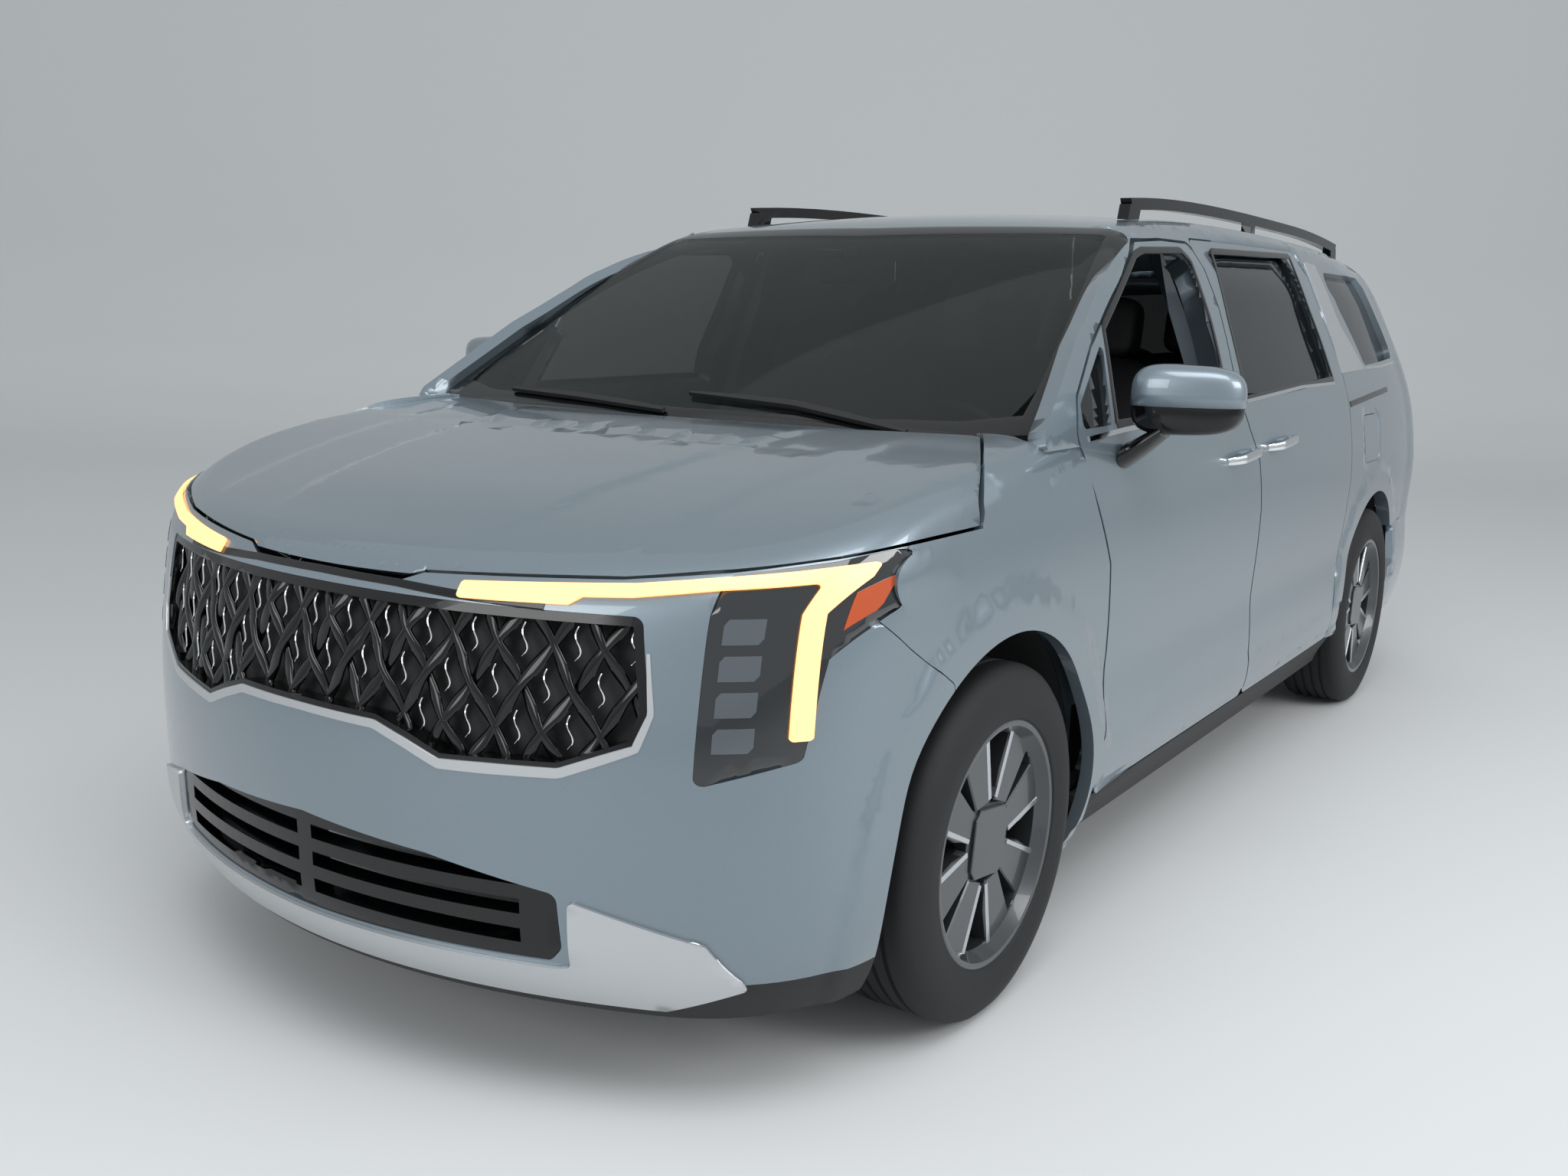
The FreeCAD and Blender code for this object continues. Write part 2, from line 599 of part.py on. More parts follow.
door_space = side_prism(front_door_shares, 30, size("door_gap"), 0.5)
slider_space = side_prism(slider_shares, 30, size("slider_gap"), 0.5)
windshield_shares = [(0.9513, 0), (0.9461, 0.4511), (0.9345, 0.7218), (0.9167, 0.9073), (0.8704, 0.8862), (0.8157, 0.8531), (0.7523, 0.813), (0.6626, 0.7539), (0.6503, 0.7368), (0.6626, 0.401), (0.6684, 0)]
windshield_plan = [(s, y) for y, s in whole([(y, s) for s, y in windshield_shares])]
windshield_space = top_prism(windshield_plan, 25, size("glass_gap"), 0.5)
quarter_hole = side_prism(quarter_window_shares, 40, 0, 0.4)
gate_half_shares = [(0, 0.3678), (0.5614, 0.3678), (0.6416, 0.4368), (0.6617, 0.5747), (0.7018, 0.6322), (0.6917, 0.7471), (0.6416, 0.8966), (0.6015, 0.9425), (0, 0.9511)]
gate_outline = whole(gate_half_shares)
gate_space = end_prism(gate_outline, 40, size("hood_gap"), -2.2, -0.4004)
tail_lamp_shares = [(0.6737, 0.4598), (0.6917, 0.6264), (0.8622, 0.6178), (0.9925, 0.6092), (0.9925, 0.5345), (0.8622, 0.5172), (0.802, 0.4598)]
tail_lamp_space = end_prism(tail_lamp_shares, 20, size("panel_gap"), -2.2, -0.6748)
roof_plan = whole([(0, 0.6704), (0.401, 0.6646), (0.6917, 0.6529), (0.6917, -0.6482), (0, -0.7013)])
roof_plan = [(s, y) for y, s in roof_plan]
roof_space = top_prism(roof_plan, 30, size("panel_gap"), 0.6)
side_space = side_prism(side_outline_shares, 30, 0, 0.5)
side_holes = [door_space, slider_space, windshield_space, quarter_hole, arch_rear]
side_holes += [gate_space, tail_lamp_space, roof_space]
flap_shares = [(-0.0155, 0.5345), (-0.0155, 0.631), (0.0684, 0.631), (0.0684, 0.5345)]
flap_prism = side_prism(flap_shares, 25, 0, 0.5)
flap_rim = side_prism(flap_shares, 25, size("flap_gap"), 0.5)
flap_space = panel(side_sheet, flap_rim, 2 * size("flap_wall") + size("seat_gap"), -size("flap_wall"))
side = panel(side_sheet, side_space, size("side_wall"), 0, side_holes)


def flank_y(x, z):
    """Y of the left body side."""
    s = station_of(x)
    taper = max(z / height - 0.5, 0) * 2
    return across(side_curve(z / height) - side_plan(s) - taper * tail_taper(s))


def post(rear, front, low, high, depth, wall):
    """Upright or sill inside the body side, following its section between two stations."""
    x = at(rear)
    levels = steps(up(low), up(high), 7)
    outer = [Vector(x, flank_y(at(front), z) - depth, z) for z in levels]
    inner = [Vector(x, flank_y(at(front), z) - depth - wall, z) for z in levels]
    outline = outer + inner[::-1]
    return Part.Face(Part.makePolygon(outline + outline[:1])).extrude(Vector(at(front) - x, 0, 0))


inset = size("pillar_inset")
wall = size("pillar_wall")
rail_inset = size("rail_inset")
rail_wall = inset + wall - rail_inset
pillar_a_shares = [(0.8406, 0.1937), (0.8406, 0.3966), (0.8455, 0.508), (0.8769, 0.6138), (0.8892, 0.6684), (0.9215, 0.6684), (0.9189, 0.4425), (0.8924, 0.4023), (0.8678, 0.3448), (0.8568, 0.2989), (0.8497, 0.2471), (0.8497, 0.1937)]
pillar_a = side_prism(pillar_a_shares, 5, 0, 0.8521, 0.9113)
pillar_top_shares = [(0.8455, 0.508), (0.8769, 0.6138), (0.8892, 0.6684), (0.9215, 0.6684), (0.9196, 0.508)]
pillar_top = side_prism(pillar_top_shares, 5, 0, 0.8521, 0.9273)
pillar_b = post(0.4587, 0.5202, 0.1937, 0.9569, inset, wall)
pillar_c = post(0.1254, 0.1675, 0.3736, 0.9569, inset, wall)
pillar_foot = post(0.1529, 0.1837, 0.1937, 0.4023, inset, wall)
quarter_foot = post(0.1497, 0.1659, 0.1898, 0.2414, rail_inset, rail_wall)
sill_inner = post(0.1497, 0.8471, 0.1379, 0.196, size("sill_inset"), size("sill_plate"))
cantrail_shares = [(0.6044, 0.9333), (0.504, 0.9391), (0.1028, 0.9454), (0.1028, 0.9598), (0.3714, 0.9621), (0.5008, 0.958), (0.5655, 0.9489), (0.6044, 0.942)]
cantrail = side_prism(cantrail_shares, 5, 0, 0.5915, 0.7138)
hinge_x = at(0.8157)
hinge_y = across(0.9774)
hinge_levels = [up(0.3103), up(0.3908)]


def hinge_leaf(level):
    """Door's half of a hinge: a thick disc about the hinge axis, inside the door's skin."""
    disc = Part.makeCylinder(size("hinge_radius"), size("hinge_height"), Vector(hinge_x, hinge_y, level))
    return disc.common(block(0, half_width * 2, across(0.8822), across(0.9474), 0, height))


def hinge_seat(level):
    """Body's half of a hinge: a block hollowed round the disc, on the front pillar."""
    seat_block = block(hinge_x, at(0.8426), across(0.8742), across(0.9113), level, level + size("hinge_height"))
    bore = Part.makeCylinder(size("hinge_radius") + size("running_gap"), height, Vector(hinge_x, hinge_y, 0))
    return seat_block.cut(bore)


def striker(x, z):
    """Block on a pillar that the sliding door's inner face rests on."""
    top = z + size("hinge_height")
    flank = min(flank_y(x - size("carrier_wall"), top), flank_y(x, top), flank_y(x, z))
    outer = flank - size("door_thickness") - size("striker_gap")
    return block(x - size("carrier_wall"), x, outer - size("pillar_wall"), outer, z, top)


strikers = [striker(at(0.1642), up(0.3448)), striker(at(0.161), up(0.5057)), striker(at(0.4749), up(0.3448))]
hinge_seats = [hinge_seat(level) for level in hinge_levels]
frame_posts = [pillar_a, pillar_b, pillar_c, pillar_foot, quarter_foot, sill_inner, cantrail]
frame_posts = frame_posts + hinge_seats + strikers


def cover(sheet_face, outline, wall, gap, holes=()):
    """Space of a neighbouring panel with a clearance all round, to be cut from what it meets."""
    return panel(sheet_face, outline, wall + 2 * gap, -gap, holes)


seat_gap = size("seat_gap")
sill_shares = [(0.1448, 0.1351), (0.1487, 0.1839), (0.1494, 0.1948), (0.8527, 0.1948), (0.8503, 0.1351)]
sill_cover = cover(door_sheet, side_prism(sill_shares, 8, seat_gap, 0.5), size("sill_wall"), seat_gap)
roof_cover = cover(cabin_sheet, roof_space, size("roof_wall"), seat_gap)
windshield_cover = cover(cabin_sheet, windshield_space, size("glass_wall"), size("glass_gap"))
gate_cover = cover(tail_sheet, gate_space, size("gate_wall"), size("gate_gap"))
tail_lamp_cover = cover(tail_sheet, tail_lamp_space, size("side_wall"), seat_gap)
left_half = block(-3 * half_width, 3 * half_width, half_width / 2, 2 * half_width, 0, 2 * height)
roof_edge = roof_cover.common(left_half)
side_skin = side
for neighbour in (roof_edge, windshield_cover.common(left_half), gate_cover.common(left_half), tail_lamp_cover):
    side_skin = side_skin.cut(neighbour)
side_frame = pillar_top.fuse(frame_posts)
side_frame = side_frame.cut(sill_cover).cut(roof_edge)
side_shell = side_skin.fuse(side_frame)
keep("body_side_left", side_shell.cut(flap_space))
keep("body_side_right", mirror(side_shell))
keep("fuel_flap", panel(side_sheet, flap_prism, size("flap_wall")))
roof = panel(cabin_sheet, top_prism(roof_plan, 30, 0, 0.6), size("roof_wall"), 0, [windshield_space])
roof = roof.cut(gate_cover)
keep("roof_panel", max(roof.Solids, key=lambda solid: solid.Volume))
pane_shares = [(0.9513, 0), (0.9461, 0.4511), (0.9345, 0.7218), (0.9167, 0.8922), (0.8704, 0.8682), (0.8157, 0.8351), (0.7523, 0.813), (0.6626, 0.7539), (0.6503, 0.7368), (0.6626, 0.401), (0.6684, 0)]
pane_plan = [(s, y) for y, s in whole([(y, s) for s, y in pane_shares])]
keep("windshield", panel(cabin_sheet, top_prism(pane_plan, 25, 0, 0.5), size("glass_wall")))

# Doors
window_hole = side_prism(front_window_shares, 25, 0, 0.5)
triangle_hole = side_prism(front_triangle_shares, 12, 0, 0.5)
channel = size("glass_channel")
inner_holes = [side_prism(front_window_shares, 25, channel, 0.5), side_prism(front_triangle_shares, 12, channel, 0.5)]
front_door = hinged_panel(door_sheet, front_door_shares, 30, size("door_thickness"), [window_hole, triangle_hole], inner_holes)
front_door = front_door.fuse([hinge_leaf(level) for level in hinge_levels])
keep("front_door_left", front_door)
keep("front_door_right", mirror(front_door))


def side_pane(outline, radius):
    """Pane that fills a side window, set in from the outer surface."""
    if outline is quarter_window_shares:
        prism = side_prism(outline, radius, -size("seat_gap"), 0.5)
        return panel(side_sheet, prism, size("glass_wall"), size("glass_inset"))
    prism = side_prism(outline, radius, channel - size("seat_gap"), 0.5)
    return panel(door_sheet, prism, size("glass_wall"), size("glass_inset"))


window_glass = side_pane(front_window_shares, 25)
keep("front_window_right", mirror(window_glass))
triangle_glass = side_pane(front_triangle_shares, 12)
keep("door_triangle_left", triangle_glass)
keep("door_triangle_right", mirror(triangle_glass))
slider_hole = side_prism(slider_window_shares, 25, 0, 0.5)
slider_channel = side_prism(slider_window_shares, 25, channel, 0.5)
slider = hinged_panel(door_sheet, slider_shares, 30, size("door_thickness"), [arch_rear, slider_hole], [arch_rear, slider_channel])
keep("sliding_door_left", slider)
keep("sliding_door_right", mirror(slider))
slider_glass = side_pane(slider_window_shares, 25)
quarter_glass = side_pane(quarter_window_shares, 40)
keep("side_glass", both(Part.makeCompound([slider_glass, quarter_glass])))

# Hood, fenders and nose
hood_space = hood_cutter(size("hood_gap"))
keep("hood", panel(hood_sheet, hood_cutter(0), size("hood_wall")))
cowl_shares = [(0.9862, 0), (0.9733, 0.7018), (0.9215, 0.7619), (0.928, 0)]
cowl_plan = [(s, y) for y, s in whole([(y, s) for s, y in cowl_shares])]
keep("cowl_panel", panel(hood_sheet, top_prism(cowl_plan, 20, 0, 0.5), size("glass_wall"), size("cowl_depth")))
fender_shares = [(0.8532, 0.1983), (0.8403, 0.2868), (0.8371, 0.3897), (0.8439, 0.508), (0.8746, 0.6138), (0.8879, 0.6701), (0.8892, 0.7241), (2.0668, 0.7241), (2.0668, 0.1149), (0.8513, 0.1149)]
side_rim = side_prism(side_outline_shares, 30, size("panel_gap"), 0.5)
fender_holes = [side_prism(bumper_side_shares, 20, size("trim_gap"), 0.5), hood_space, lamp_space]
fender_holes += [arch_front, windshield_space, side_rim]
fender = panel(fender_sheet, side_prism(fender_shares, 20, 0, 0.5), size("fender_wall"), 0, fender_holes)
fender = fender.cut(cover(nose_sheet, lamp_space, size("lamp_depth"), seat_gap))
side_nose = side_rim.common(block(at(0.8568), at(0.9539), 0, half_width * 2, 0, height))
fender = fender.cut(cover(side_sheet, side_nose, size("side_wall"), seat_gap))
keep("front_fenders", both(max(fender.Solids, key=lambda solid: solid.Volume)))
skid_shares = [(0, 0.1667), (0.5414, 0.169), (0.5674, 0.1724), (0.5674, 0.2431), (0.785, 0.2086), (0.8361, 0.1598), (0.7018, 0.1276), (0, 0.1276)]
skid_space = end_prism(whole(skid_shares), 10, size("seat_gap"))
grille_space = end_prism(whole(grille_shares), 20)
intake_space = end_prism(whole(intake_shares), 20)
bumper_holes = [hood_space, lamp_space, mirror(lamp_space), arch_front, mirror(arch_front), grille_space, intake_space, skid_space]
keep("front_bumper", panel(nose_sheet, side_prism(bumper_side_shares, 20, 0, -1.2), size("bumper_wall"), 0, bumper_holes))
keep("headlamps", both(panel(nose_sheet, lamp_cutter, size("lamp_depth"), 2 * size("seat_gap"))))

# Grille: crossed strands in a frame
grille_fit = end_prism(whole(grille_shares), 20, -size("seat_gap"))
grille_window = end_prism(whole(grille_shares), 20, -size("frame_width"))
grille_field = end_prism(whole(grille_shares), 20, -size("frame_width") - size("seat_gap"))
keep("grille_surround", panel(nose_sheet, grille_fit, size("frame_depth"), size("frame_inset"), [grille_window]))


def diamond(centre_y, centre_z, half_y, half_z):
    """Opening between four strands of the grille, swept along X."""
    points = [Vector(front_axle, centre_y, centre_z - half_z), Vector(front_axle, centre_y + half_y, centre_z),
              Vector(front_axle, centre_y, centre_z + half_z), Vector(front_axle, centre_y - half_y, centre_z)]
    return Part.Face(Part.makePolygon(points + points[:1])).extrude(Vector(2 * size("front_overhang"), 0, 0))


pitch = size("strand_pitch")
rise = size("strand_rise")
count = int(size("grille_half_width") / pitch) + 1
cells = []
for row in range(-3, 5):
    offset = 0.5 * (row % 2)
    for i in range(-count, count + 1):
        cells.append(diamond((i + offset) * pitch, up(0.45) + row * rise / 2,
                             pitch / 2 - size("strand_width"), rise / 2 - size("strand_width") * 1.8))
cell_group = Part.makeCompound(cells)
keep("grille_lattice", panel(nose_sheet, grille_field, size("grille_depth"), size("strand_inset"), [cell_group]))

intake_fit = end_prism(whole(intake_shares), 20, -size("seat_gap"))
slots = []
for i in range(3):
    low = up(0.19 + 0.031 * i)
    for side_sign in (-1, 1):
        slots.append(block(front_axle, front_x + half_width, min(side_sign * across(0.02), side_sign * across(0.48)),
                           max(side_sign * across(0.02), side_sign * across(0.48)), low, low + up(0.016)))
keep("lower_grille", panel(nose_sheet, intake_fit, size("frame_depth"), size("frame_inset"), [Part.makeCompound(slots)]))

# Light strips: a bar along the hood's edge that turns down the lamp's outer side
strip_shares = [(0.3388, 0.5316), (0.3388, 0.546), (0.6416, 0.5563), (0.8622, 0.5718), (0.9444, 0.5793), (0.9404, 0.5655), (0.9073, 0.5345), (0.9073, 0.4138), (0.8822, 0.4138), (0.8822, 0.5345), (0.8972, 0.5621), (0.7719, 0.5552), (0.6416, 0.5448), (0.5614, 0.5425), (0.5414, 0.5345)]
keep("light_strips", both(panel(nose_sheet, end_prism(strip_shares, 6), size("strip_depth"), -size("strip_proud"))))

# Skid trim under the nose
keep("front_skid_trim", panel(nose_sheet, end_prism(whole(skid_shares), 10), size("skid_wall"), -size("skid_proud")))

# Tail
gate_window_shares = [(0, 0.6724), (0.5915, 0.6724), (0.6015, 0.7471), (0.5614, 0.8851), (0, 0.9023)]
gate_window = end_prism(whole(gate_window_shares), 50, 0, -2.2, -0.2235)
gate_shape = end_prism(gate_outline, 40, 0, -2.2, -0.4004)
keep("tailgate", panel(tail_sheet, gate_shape, size("gate_wall"), 0, [gate_window]))
gate_fit = end_prism(whole(gate_window_shares), 50, -size("seat_gap"), -2.2, -0.2235)
keep("tailgate_glass", panel(tail_sheet, gate_fit, size("glass_wall"), size("glass_wall")))
tail_lamp = panel(tail_sheet, end_prism(tail_lamp_shares, 20, 0, -2.2, -0.6792), size("side_wall"))
keep("tail_lamps", both(tail_lamp.cut(gate_cover)))
rear_side_shares = [(-1.0553, 0.1379), (-1.0553, 0.3632), (-0.8783, 0.3632), (-0.8429, 0.3674), (-0.3827, 0.3674), (-0.3473, 0.3218), (-0.365, 0.1379)]
rear_holes = [arch_rear, mirror(arch_rear)]
keep("rear_bumper", panel(tail_sheet, side_prism(rear_side_shares, 8, 0, -1.2, 1.2), size("bumper_wall"), 0, rear_holes))

# Sills
sill = panel(door_sheet, side_prism(sill_shares, 8, 0, 0.5), size("sill_wall"))
keep("sill_cladding", both(sill.common(block(-2 * half_width, 2 * half_width, 0, 2 * half_width, 0, up(0.1948)))))



def fitted(label, kind, sizes, place, turn=None):
    """Primitive bound to the sheet: sizes and place are property and expression pairs."""
    thing = doc.addObject(kind, label)
    thing.Label = label
    if turn:
        thing.Placement = Placement(Vector(0, 0, 0), turn)
    for name, expression in sizes.items():
        thing.setExpression(name, expression)
    for name, expression in zip("xyz", place):
        thing.setExpression("Placement.Base." + name, expression)
    return thing


def joined(label, pieces):
    """Union of bound primitives, kept as one sub-part."""
    thing = doc.addObject("Part::MultiFuse", label)
    thing.Label = label
    thing.Shapes = pieces
    nodes.append(thing)
    return thing


FRONT_X = "(Sizes.wheelbase + Sizes.rear_overhang - Sizes.front_overhang) / 2"
REAR_X = "(Sizes.rear_overhang - Sizes.front_overhang - Sizes.wheelbase) / 2"
ALONG_Y = Rotation(Vector(1, 0, 0), -90)
ALONG_X = Rotation(Vector(0, 1, 0), 90)

# Engine, one plain block over the subframe
engine = fitted("engine_block", "Part::Box",
                {"Length": "Sizes.engine_length", "Width": "Sizes.engine_width", "Height": "Sizes.engine_height"},
                (FRONT_X + " - Sizes.engine_length / 3", "-Sizes.engine_width / 2", "Sizes.frame_top + Sizes.seat_gap"))
nodes.append(engine)

# Front subframe: two rails, two cross members and a lower arm to each knuckle
subframe = []
for name, sign in (("right", "-"), ("left", "")):
    subframe.append(fitted("rail_" + name, "Part::Box",
                           {"Length": "Sizes.frame_length", "Width": "Sizes.frame_rail", "Height": "Sizes.frame_rail"},
                           (FRONT_X + " - Sizes.frame_length / 2",
                            sign + "Sizes.frame_y - Sizes.frame_rail / 2", "Sizes.frame_top - Sizes.frame_rail")))
    subframe.append(fitted("arm_" + name, "Part::Box",
                           {"Length": "Sizes.arm_width", "Width": "Sizes.kingpin_y - Sizes.frame_y", "Height": "Sizes.arm_height"},
                           (FRONT_X + " - Sizes.arm_width / 2",
                            "Sizes.frame_y" if sign == "" else "-Sizes.kingpin_y", "Sizes.frame_top - Sizes.arm_height")))
for name, sign in (("front", ""), ("back", "-")):
    subframe.append(fitted("cross_" + name, "Part::Box",
                           {"Length": "Sizes.frame_rail", "Width": "2 * Sizes.frame_y", "Height": "Sizes.frame_rail"},
                           (FRONT_X + " + " + sign + "(Sizes.frame_length / 2 - Sizes.frame_rail) - Sizes.frame_rail / 2",
                            "-Sizes.frame_y", "Sizes.frame_top - Sizes.frame_rail")))
joined("front_subframe", subframe)

# Rear axle: a cross member under the floor, an arm to each carrier and a spindle on it
axle = [fitted("cross_member", "Part::Box",
               {"Length": "Sizes.arm_width", "Width": "2 * Sizes.link_y + Sizes.arm_width",
                "Height": "Sizes.floor_top - Sizes.floor_thickness - Sizes.seat_gap - Sizes.frame_top"},
               (REAR_X + " - Sizes.arm_width / 2", "-Sizes.link_y - Sizes.arm_width / 2", "Sizes.frame_top"))]
for name, inner, outer in (("right", "-Sizes.carrier_y", "-Sizes.spindle_end_y"), ("left", "Sizes.link_y", "Sizes.carrier_y")):
    axle.append(fitted("link_" + name, "Part::Box",
                       {"Length": "Sizes.arm_width", "Width": "Sizes.carrier_y - Sizes.link_y", "Height": "Sizes.link_height"},
                       (REAR_X + " - Sizes.arm_width / 2", inner, "Sizes.link_z")))
    carrier_side = "-Sizes.carrier_y" if name == "right" else "Sizes.carrier_y - Sizes.carrier_wall"
    axle.append(fitted("carrier_" + name, "Part::Box",
                       {"Length": "Sizes.arm_width", "Width": "Sizes.carrier_wall",
                        "Height": "Sizes.tyre_radius + Sizes.arm_width / 2 - Sizes.link_z"},
                       (REAR_X + " - Sizes.arm_width / 2", carrier_side, "Sizes.link_z")))
    spindle_side = outer if name == "right" else "Sizes.carrier_y - Sizes.carrier_wall / 2"
    axle.append(fitted("spindle_" + name, "Part::Cylinder",
                       {"Radius": "Sizes.spindle_radius", "Height": "Sizes.spindle_end_y - Sizes.carrier_y + Sizes.carrier_wall / 2"},
                       (REAR_X, spindle_side, "Sizes.tyre_radius"), ALONG_Y))
joined("rear_axle", axle)

# Fuel tank and exhaust under the floor
tank = fitted("fuel_tank", "Part::Box",
              {"Length": "Sizes.tank_length", "Width": "Sizes.tank_width", "Height": "Sizes.tank_height"},
              (REAR_X + " + Sizes.tank_clear", "-Sizes.tank_width - Sizes.tunnel_half",
               "Sizes.floor_top - Sizes.floor_thickness - Sizes.seat_gap - Sizes.tank_height"))
nodes.append(tank)
exhaust = [fitted("pipe", "Part::Cylinder", {"Radius": "Sizes.pipe_radius", "Height": "Sizes.pipe_length"},
                  (REAR_X + " - Sizes.silencer_length - Sizes.arch_radius / 2", "Sizes.tunnel_half",
                   "Sizes.floor_top - Sizes.floor_thickness - Sizes.seat_gap - Sizes.silencer_radius"), ALONG_X),
           fitted("silencer", "Part::Cylinder", {"Radius": "Sizes.silencer_radius", "Height": "Sizes.silencer_length"},
                  (REAR_X + " - Sizes.silencer_length - Sizes.arch_radius", "Sizes.tunnel_half",
                   "Sizes.floor_top - Sizes.floor_thickness - Sizes.seat_gap - Sizes.silencer_radius"), ALONG_X)]
joined("exhaust", exhaust)

# Floor, bulkhead and the cabin's sides below the doors
toe_x = at(0.8341)
floor_end = at(-0.7898)
floor_side = size("floor_half_width")
floor_low = size("floor_top") - size("floor_thickness")
floor = block(floor_end, toe_x, -floor_side, floor_side, floor_low, size("floor_top"))
tunnel_side = size("front_liner_y") - size("liner_wall") - size("floor_thickness") / 2
wall_x = at(0.9312)
foot_floor = block(toe_x, wall_x, -tunnel_side, tunnel_side, floor_low, size("floor_top"))
bulkhead = block(wall_x - size("floor_thickness"), wall_x, -tunnel_side, tunnel_side, floor_low, up(0.6552))
wing_low = axle_z + size("liner_radius") + 2 * size("liner_wall")
wings = block(wall_x - size("floor_thickness"), wall_x, -across(0.77), across(0.77), wing_low, up(0.6529))
frame_feet = []
for side_sign in (-1, 1):
    foot_y = side_sign * size("frame_y") - size("frame_rail") / 2
    frame_feet.append(block(at(0.873), at(0.9021), foot_y, foot_y + size("frame_rail"),
                            size("frame_top") + size("seat_gap"), floor_low + size("floor_thickness") / 2))
well = size("liner_radius") + size("liner_wall") + size("seat_gap")
rear_well = barrel(well, rear_axle, size("rear_liner_y") - size("liner_wall") - size("seat_gap"), across(1.2))
floor = floor.fuse([foot_floor, bulkhead, wings] + frame_feet).cut(rear_well).cut(mirror(rear_well))
keep("floor_pan", floor)


def liner(centre_x, inner_y, reach):
    """Half-round wheel arch liner with an inner wall, open below and outwards."""
    wall = size("liner_wall")
    shell = barrel(size("liner_radius") + wall, centre_x, inner_y - wall, reach)
    shell = shell.cut(barrel(size("liner_radius"), centre_x, inner_y, reach + size("overrun")))
    return shell.cut(block(centre_x - half_width, centre_x + half_width, 0, 2 * half_width, -height, axle_z - 40))


front_liner = liner(front_axle, size("front_liner_y"), across(0.925))
shaft_window = block(front_axle - size("shaft_window") / 2, front_axle + size("shaft_window") / 2,
                     0, size("front_liner_y") + size("overrun"), 0, axle_z + size("shaft_window") / 2)
front_liner = front_liner.cut(shaft_window)
rear_liner = liner(rear_axle, size("rear_liner_y"), across(0.925))
arm_window = block(rear_axle - size("arm_width"), rear_axle + size("arm_width"), 0, size("rear_liner_y") + 1, 0, axle_z + size("arm_width"))
rear_liner = rear_liner.cut(arm_window)
keep("wheel_arch_liners", both(Part.makeCompound([front_liner, rear_liner])))

# Dashboard, a moulded section across the cabin
dash_shares = [(0.9214, 0.6351), (0.9214, 0.5747), (0.8309, 0.3678), (0.8115, 0.3678), (0.7694, 0.4943), (0.7597, 0.5977), (0.7791, 0.6322), (0.8309, 0.6466)]
dash_half = size("dash_half_width")
dash_points = [Vector(at(s), -dash_half, up(h)) for s, h in dash_shares]
dash = rounded_face(dash_points, 40).extrude(Vector(0, 2 * dash_half, 0))
wheel_centre = Vector(at(0.7176), size("seat_y"), up(0.59))
tilt = Rotation(Vector(0, 1, 0), 90 + size("steering_tilt"))
column_axis = tilt.multVec(Vector(0, 0, 1))
column_start = size("steering_hub") * 0.5 + size("running_gap")
column = Part.makeCylinder(size("column_radius"), size("column_length") - column_start,
                           wheel_centre + column_axis * column_start, column_axis)
keep("dashboard", dash.fuse(column))


def seat(front, width, centre_y, floor_z):
    """One seat: cushion on a pedestal, leaning back and headrest, as a side profile swept across."""
    length = size("seat_length")
    back = size("seat_back_height")
    thick = size("seat_thickness")
    top = floor_z + size("seat_height")
    half = width / 2
    pedestal = block(front - length * 0.85, front - length * 0.2, centre_y - half * 0.8, centre_y + half * 0.8,
                     floor_z, top - thick * 0.6)
    cushion = [Vector(front, 0, top - thick * 0.9), Vector(front - length, 0, top - thick),
               Vector(front - length, 0, top - thick * 0.2), Vector(front, 0, top)]
    lean = math.tan(math.radians(size("seat_lean")))
    rear = front - length
    rest = [Vector(rear + thick * 0.8, 0, top - thick * 0.9), Vector(rear - thick * 0.3, 0, top - thick * 0.9),
            Vector(rear - thick * 0.2 - back * lean, 0, top + back), Vector(rear + thick * 0.35 - back * lean, 0, top + back)]
    head_z = top + back
    head_x = rear - back * lean
    head = [Vector(head_x + thick * 0.3, 0, head_z - 20), Vector(head_x - thick * 0.25, 0, head_z - 20),
            Vector(head_x - thick * 0.45, 0, head_z + size("headrest_height")),
            Vector(head_x + thick * 0.1, 0, head_z + size("headrest_height"))]
    shapes = []
    for outline, share in ((cushion, 1.0), (rest, 0.96), (head, 0.5)):
        profile = rounded_face([p + Vector(0, centre_y - half * share, 0) for p in outline], 30)
        shapes.append(profile.extrude(Vector(0, 2 * half * share, 0)))
    return pedestal.fuse(shapes)


floor_top = size("floor_top") + size("seat_gap")
keep("front_seats", both(seat(at(0.6497), size("seat_width"), size("seat_y"), floor_top)))
keep("middle_seats", both(seat(at(0.3455), size("seat_width"), size("seat_y"), floor_top)))
keep("rear_bench", seat(at(0.0639), size("bench_width"), 0, floor_top))

# Steering wheel, tilted towards the driver
grip = size("steering_grip")
grip_points = []
for i in range(12):
    turn = math.radians(30 * i)
    grip_points.append(Vector(size("steering_radius") + grip * math.cos(turn), 0, grip * math.sin(turn)))
rim_ring = Part.Face(Part.makePolygon(grip_points + grip_points[:1])).revolve(Vector(0, 0, 0), Vector(0, 0, 1), 360)
hub = Part.makeCylinder(size("steering_hub"), size("steering_hub") * 0.8, Vector(0, 0, -size("steering_hub") * 0.3))
spokes = [hub]
for angle in (0, 180, 270):
    bar = block(0, size("steering_radius"), -size("steering_grip"), size("steering_grip"),
                -size("steering_grip") / 2, size("steering_grip") / 2)
    bar.rotate(Vector(0, 0, 0), Vector(0, 0, 1), angle)
    spokes.append(bar)
keep("steering_wheel", rim_ring.fuse(spokes), Placement(wheel_centre, tilt))

# Roof rails: a bar on three feet each side
rail_y = size("rail_y")


def roof_z(x, y):
    s = station_of(x)
    return up(cabin_curve(s) - cabin_crown(s) * (y / half_width) ** 2)


def curve_through(points):
    curve = Part.BSplineCurve()
    curve.interpolate(points)
    return curve.toShape()


